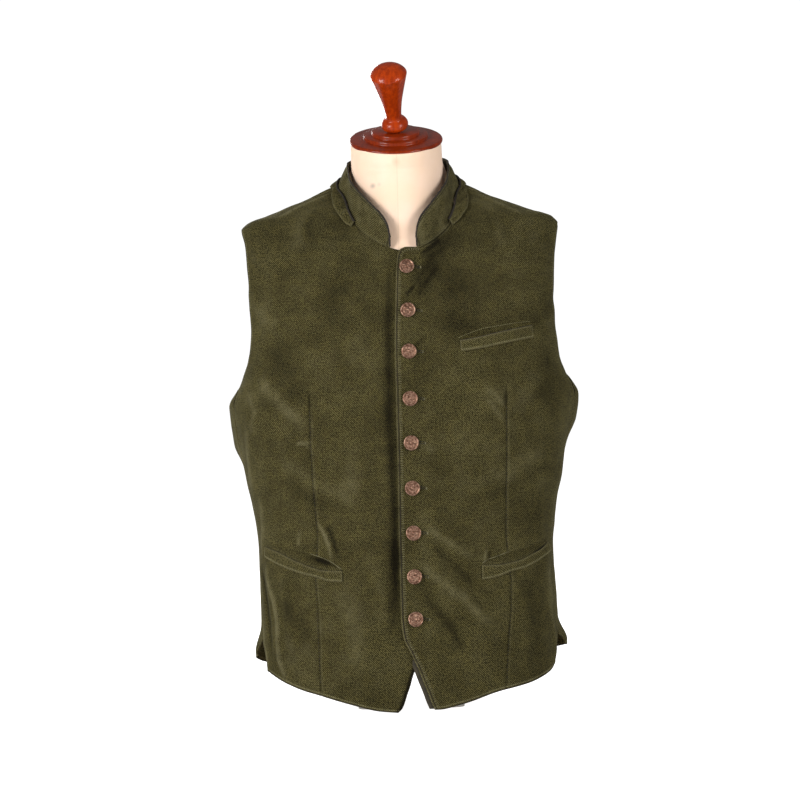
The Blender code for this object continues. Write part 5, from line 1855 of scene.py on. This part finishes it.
def linen_material():
    """Pale cover with a fine weave, a seam down its front and a few marks."""
    material, tree, shader = new_material("Linen cover", Roughness=0.9, Specular_IOR_Level=0.2)
    place = object_place(tree)
    parts = add_node(tree, "ShaderNodeSeparateXYZ", {0: place}).outputs
    uneven = patches(tree, place, 22.0, 0.3, 0.72)
    colour = mixed(tree, uneven, (0.92, 0.67, 0.485), (0.95, 0.71, 0.55))
    off = sums(tree, "ABSOLUTE", sums(tree, "SUBTRACT", parts[0], -0.0015))
    seam = sums(tree, "SUBTRACT", 1.0, sums(tree, "DIVIDE", off, 0.0009), clamp=True)
    colour = mixed(tree, sums(tree, "MULTIPLY", seam, 0.35), colour, (0.62, 0.47, 0.33))
    ahead = sums(tree, "LESS_THAN", parts[1], -0.03)
    for (x, z), radius, strength, stain in STAINS:
        across = sums(tree, "SUBTRACT", parts[0], x * MM)
        up = sums(tree, "SUBTRACT", parts[2], z * MM)
        squared = sums(tree, "MULTIPLY_ADD", across, across, sums(tree, "MULTIPLY", up, up))
        reach = sums(tree, "DIVIDE", sums(tree, "SQRT", squared), radius * MM)
        spot = sums(tree, "SUBTRACT", 1.0, reach, clamp=True)
        share = sums(tree, "MULTIPLY", sums(tree, "MULTIPLY", spot, strength), ahead)
        colour = mixed(tree, share, colour, stain)
    turn = {"Vector": cloth_place(tree), "Rotation": (0, 0, math.pi / 4)}
    square = add_node(tree, "ShaderNodeMapping", turn).outputs[0]
    weave = use_group(tree, LATTICE, Flat_place=square, Period=LINEN_PERIOD, Waviness=0.0004)
    height = sums(tree, "SUBTRACT", weave["Height"], sums(tree, "MULTIPLY", seam, 2.0))
    dress_surface(tree, shader, colour, height, 0.35)
    return material


def wood_material(name, light, dark, roughness, coat, ring_scale, stretch):
    """Turned wood: long grain along the piece, finer pores over it."""
    gloss = {"Coat_Weight": coat, "Coat_Roughness": 0.04, "Specular_IOR_Level": 0.12}
    material, tree, shader = new_material(name, Roughness=roughness, **gloss)
    along = {"Vector": object_place(tree), "Scale": stretch}
    place = add_node(tree, "ShaderNodeMapping", along).outputs[0]
    grain = noise(tree, place, ring_scale, Detail=6.0, Distortion=0.6)["Fac"]
    streaks = patches(tree, place, ring_scale * 6, 0.35, 0.65)
    grain = sums(tree, "MULTIPLY", grain, 0.8)
    share = sums(tree, "MULTIPLY_ADD", streaks, 0.4, grain, clamp=True)
    dress_surface(tree, shader, mixed(tree, share, dark, light), streaks, 0.1)
    return material


def button_material():
    """Old copper-coloured metal, rubbed brighter in patches."""
    material, tree, shader = new_material("Old bronze", Metallic=1.0)
    rubbed = patches(tree, object_place(tree), 380.0, 0.35, 0.65)
    tree.links.new(sums(tree, "MULTIPLY_ADD", rubbed, -0.12, 0.5), shader.inputs["Roughness"])
    colour = mixed(tree, rubbed, (0.16, 0.080, 0.052), (0.44, 0.27, 0.19))
    dress_surface(tree, shader, colour, rubbed, 0.5)
    return material


# Making

LATTICE = lattice_group()
PATCHES = blotch_group()
VELVET = velvet_material(
    "Olive velvet", (0.124, 0.107, 0.041), (0.006, 0.0048, 0.0008), (0.175, 0.155, 0.078)
)
# Dark edging for the bindings, the collar's piping and the back seam, also used as painted shade in
# the slit under the collar roll, on the roll's inner face, in the chest pocket's mouth and in the
# groove inside the over front's edge
EDGING_AND_SHADE = plain_cloth_material(
    "Dark edging", (0.022, 0.015, 0.008), (0.009, 0.006, 0.003), 400.0, 0.85
)
LINING = plain_cloth_material(
    "Brown lining", (0.075, 0.048, 0.028), (0.036, 0.024, 0.014), 90.0, 0.75
)
# Brown facing inside the collar stand, also used as painted shadow in the dark strip at the notch
FACING_AND_SHADE = plain_cloth_material(
    "Brown facing", (0.040, 0.031, 0.014), (0.018, 0.014, 0.006), 160.0, 0.8
)
THREAD = plain_cloth_material("Green thread", (0.26, 0.24, 0.11), (0.10, 0.09, 0.04), 260.0, 0.8)
DARK_THREAD = plain_cloth_material(
    "Dark thread", (0.022, 0.018, 0.008), (0.011, 0.009, 0.004), 500.0, 0.8
)
RUBBED_EDGE = plain_cloth_material(
    "Rubbed edge", (0.175, 0.158, 0.078), (0.055, 0.048, 0.020), 200.0, 0.9
)
LINEN = linen_material()
MAHOGANY = wood_material(
    "Mahogany", (0.42, 0.042, 0.002), (0.15, 0.010, 0.001), 0.3, 0.2, 40.0, (1, 1, 0.25)
)
# A darker copy of the mahogany for the cap, as painted shade
SHADED_CAP_WOOD = wood_material(
    "Mahogany cap", (0.27, 0.028, 0.002), (0.10, 0.007, 0.001), 0.3, 0.2, 40.0, (1, 1, 0.25)
)
BOARD_WOOD = wood_material(
    "Board wood", (0.62, 0.45, 0.27), (0.38, 0.24, 0.12), 0.6, 0.0, 30.0, (1, 0.2, 1)
)
FOOT_PAINT = plain_cloth_material(
    "Pale foot paint", (0.72, 0.70, 0.66), (0.60, 0.58, 0.54), 60.0, 0.5
)
BUTTON_METAL = button_material()
CLOTH = link_collection("Dressed form")
STITCH_PATTERN = model_stitch()

panels = {}
for side, name, dart in ((1, "left", DART_LEFT), (-1, "right", DART_RIGHT)):
    panels[f"front_{name}"] = make_panel(
        f"front_{name}", side, front_lines(side), FRONT_COLUMNS, dart, over=side > 0
    )
    panels[f"back_{name}"] = make_panel(f"back_{name}", side, back_lines(side), BACK_COLUMNS)
stand = make_collar_stand()
roll = make_collar_roll()
bpy.context.view_layer.update()
trees = {name: surface_tree(panels[name][0]) for name in ("front_left", "front_right")}
welts = {name: make_welt(name, trees[front], foot, top) for name, front, foot, top, _ in POCKETS}
make_notch_strip(*panels["front_left"][1:])
sew_panels(panels)
sew_darts(trees)
sew_pockets(trees, welts)
sew_buttonholes(trees["front_left"])
sew_collar(stand, roll)
make_buttons(trees["front_left"])
make_torso()
make_cap_and_handle()
for node in ("form_board", "form_foot_1", "form_foot_2", "form_foot_3", "form_foot_4"):
    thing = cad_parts[node]
    thing.data.materials.clear()
    thing.data.materials.append(BOARD_WOOD if node == "form_board" else FOOT_PAINT)


def make_stage():
    """Pale floor, white surround, soft boxes and the camera."""
    deselect_all()
    bpy.ops.mesh.primitive_plane_add(size=FLOOR_SIZE)
    floor = bpy.context.object
    floor.name = "floor"
    colours = {"Base_Color": (0.8, 0.8, 0.8, 1), "Emission_Color": (1, 1, 1, 1)}
    material, tree, shader = new_material("Pale floor", **colours)
    camera_ray = add_node(tree, "ShaderNodeLightPath").outputs["Is Camera Ray"]
    glow = sums(tree, "MULTIPLY", camera_ray, FLOOR_GLOW)
    tree.links.new(glow, shader.inputs["Emission Strength"])
    floor.data.materials.append(material)
    world = bpy.data.worlds.new("Studio")
    bpy.context.scene.world = world
    world.use_nodes = True
    nodes = world.node_tree
    background = nodes.nodes["Background"]
    seen = add_node(nodes, "ShaderNodeLightPath").outputs["Is Camera Ray"]
    strength = sums(nodes, "MULTIPLY_ADD", seen, WORLD_SEEN - WORLD_LIGHT, WORLD_LIGHT)
    background.inputs["Color"].default_value = (1, 1, 1, 1)
    nodes.links.new(strength, background.inputs["Strength"])
    for name, place, size, power in SOFT_BOXES:
        light = bpy.data.lights.new(name, "AREA")
        light.size, light.energy = size, power
        thing = bpy.data.objects.new(name, light)
        bpy.context.scene.collection.objects.link(thing)
        thing.location = place
        aim = Vector(LIGHTS_AIM) - Vector(place)
        thing.rotation_euler = aim.to_track_quat("-Z", "Y").to_euler()
    camera_data = bpy.data.cameras.new("Camera")
    camera_data.lens = FOCAL_PIXELS / PICTURE_PIXELS * camera_data.sensor_width
    camera_data.clip_end = 100
    camera = bpy.data.objects.new("Camera", camera_data)
    bpy.context.scene.collection.objects.link(camera)
    roll = math.radians(CAMERA_ROLL)
    right = Vector((math.cos(roll), 0, -math.sin(roll)))
    up = Vector((math.sin(roll), 0, math.cos(roll)))
    back = Vector((0, -1, 0))
    turn = Matrix((right, up, back)).transposed().to_4x4()
    camera.matrix_world = Matrix.Translation(Vector(CAMERA_PLACE)) @ turn
    bpy.context.scene.camera = camera
    bpy.context.scene.view_settings.view_transform = "Standard"
    bpy.context.scene.view_settings.look = "None"


make_stage()
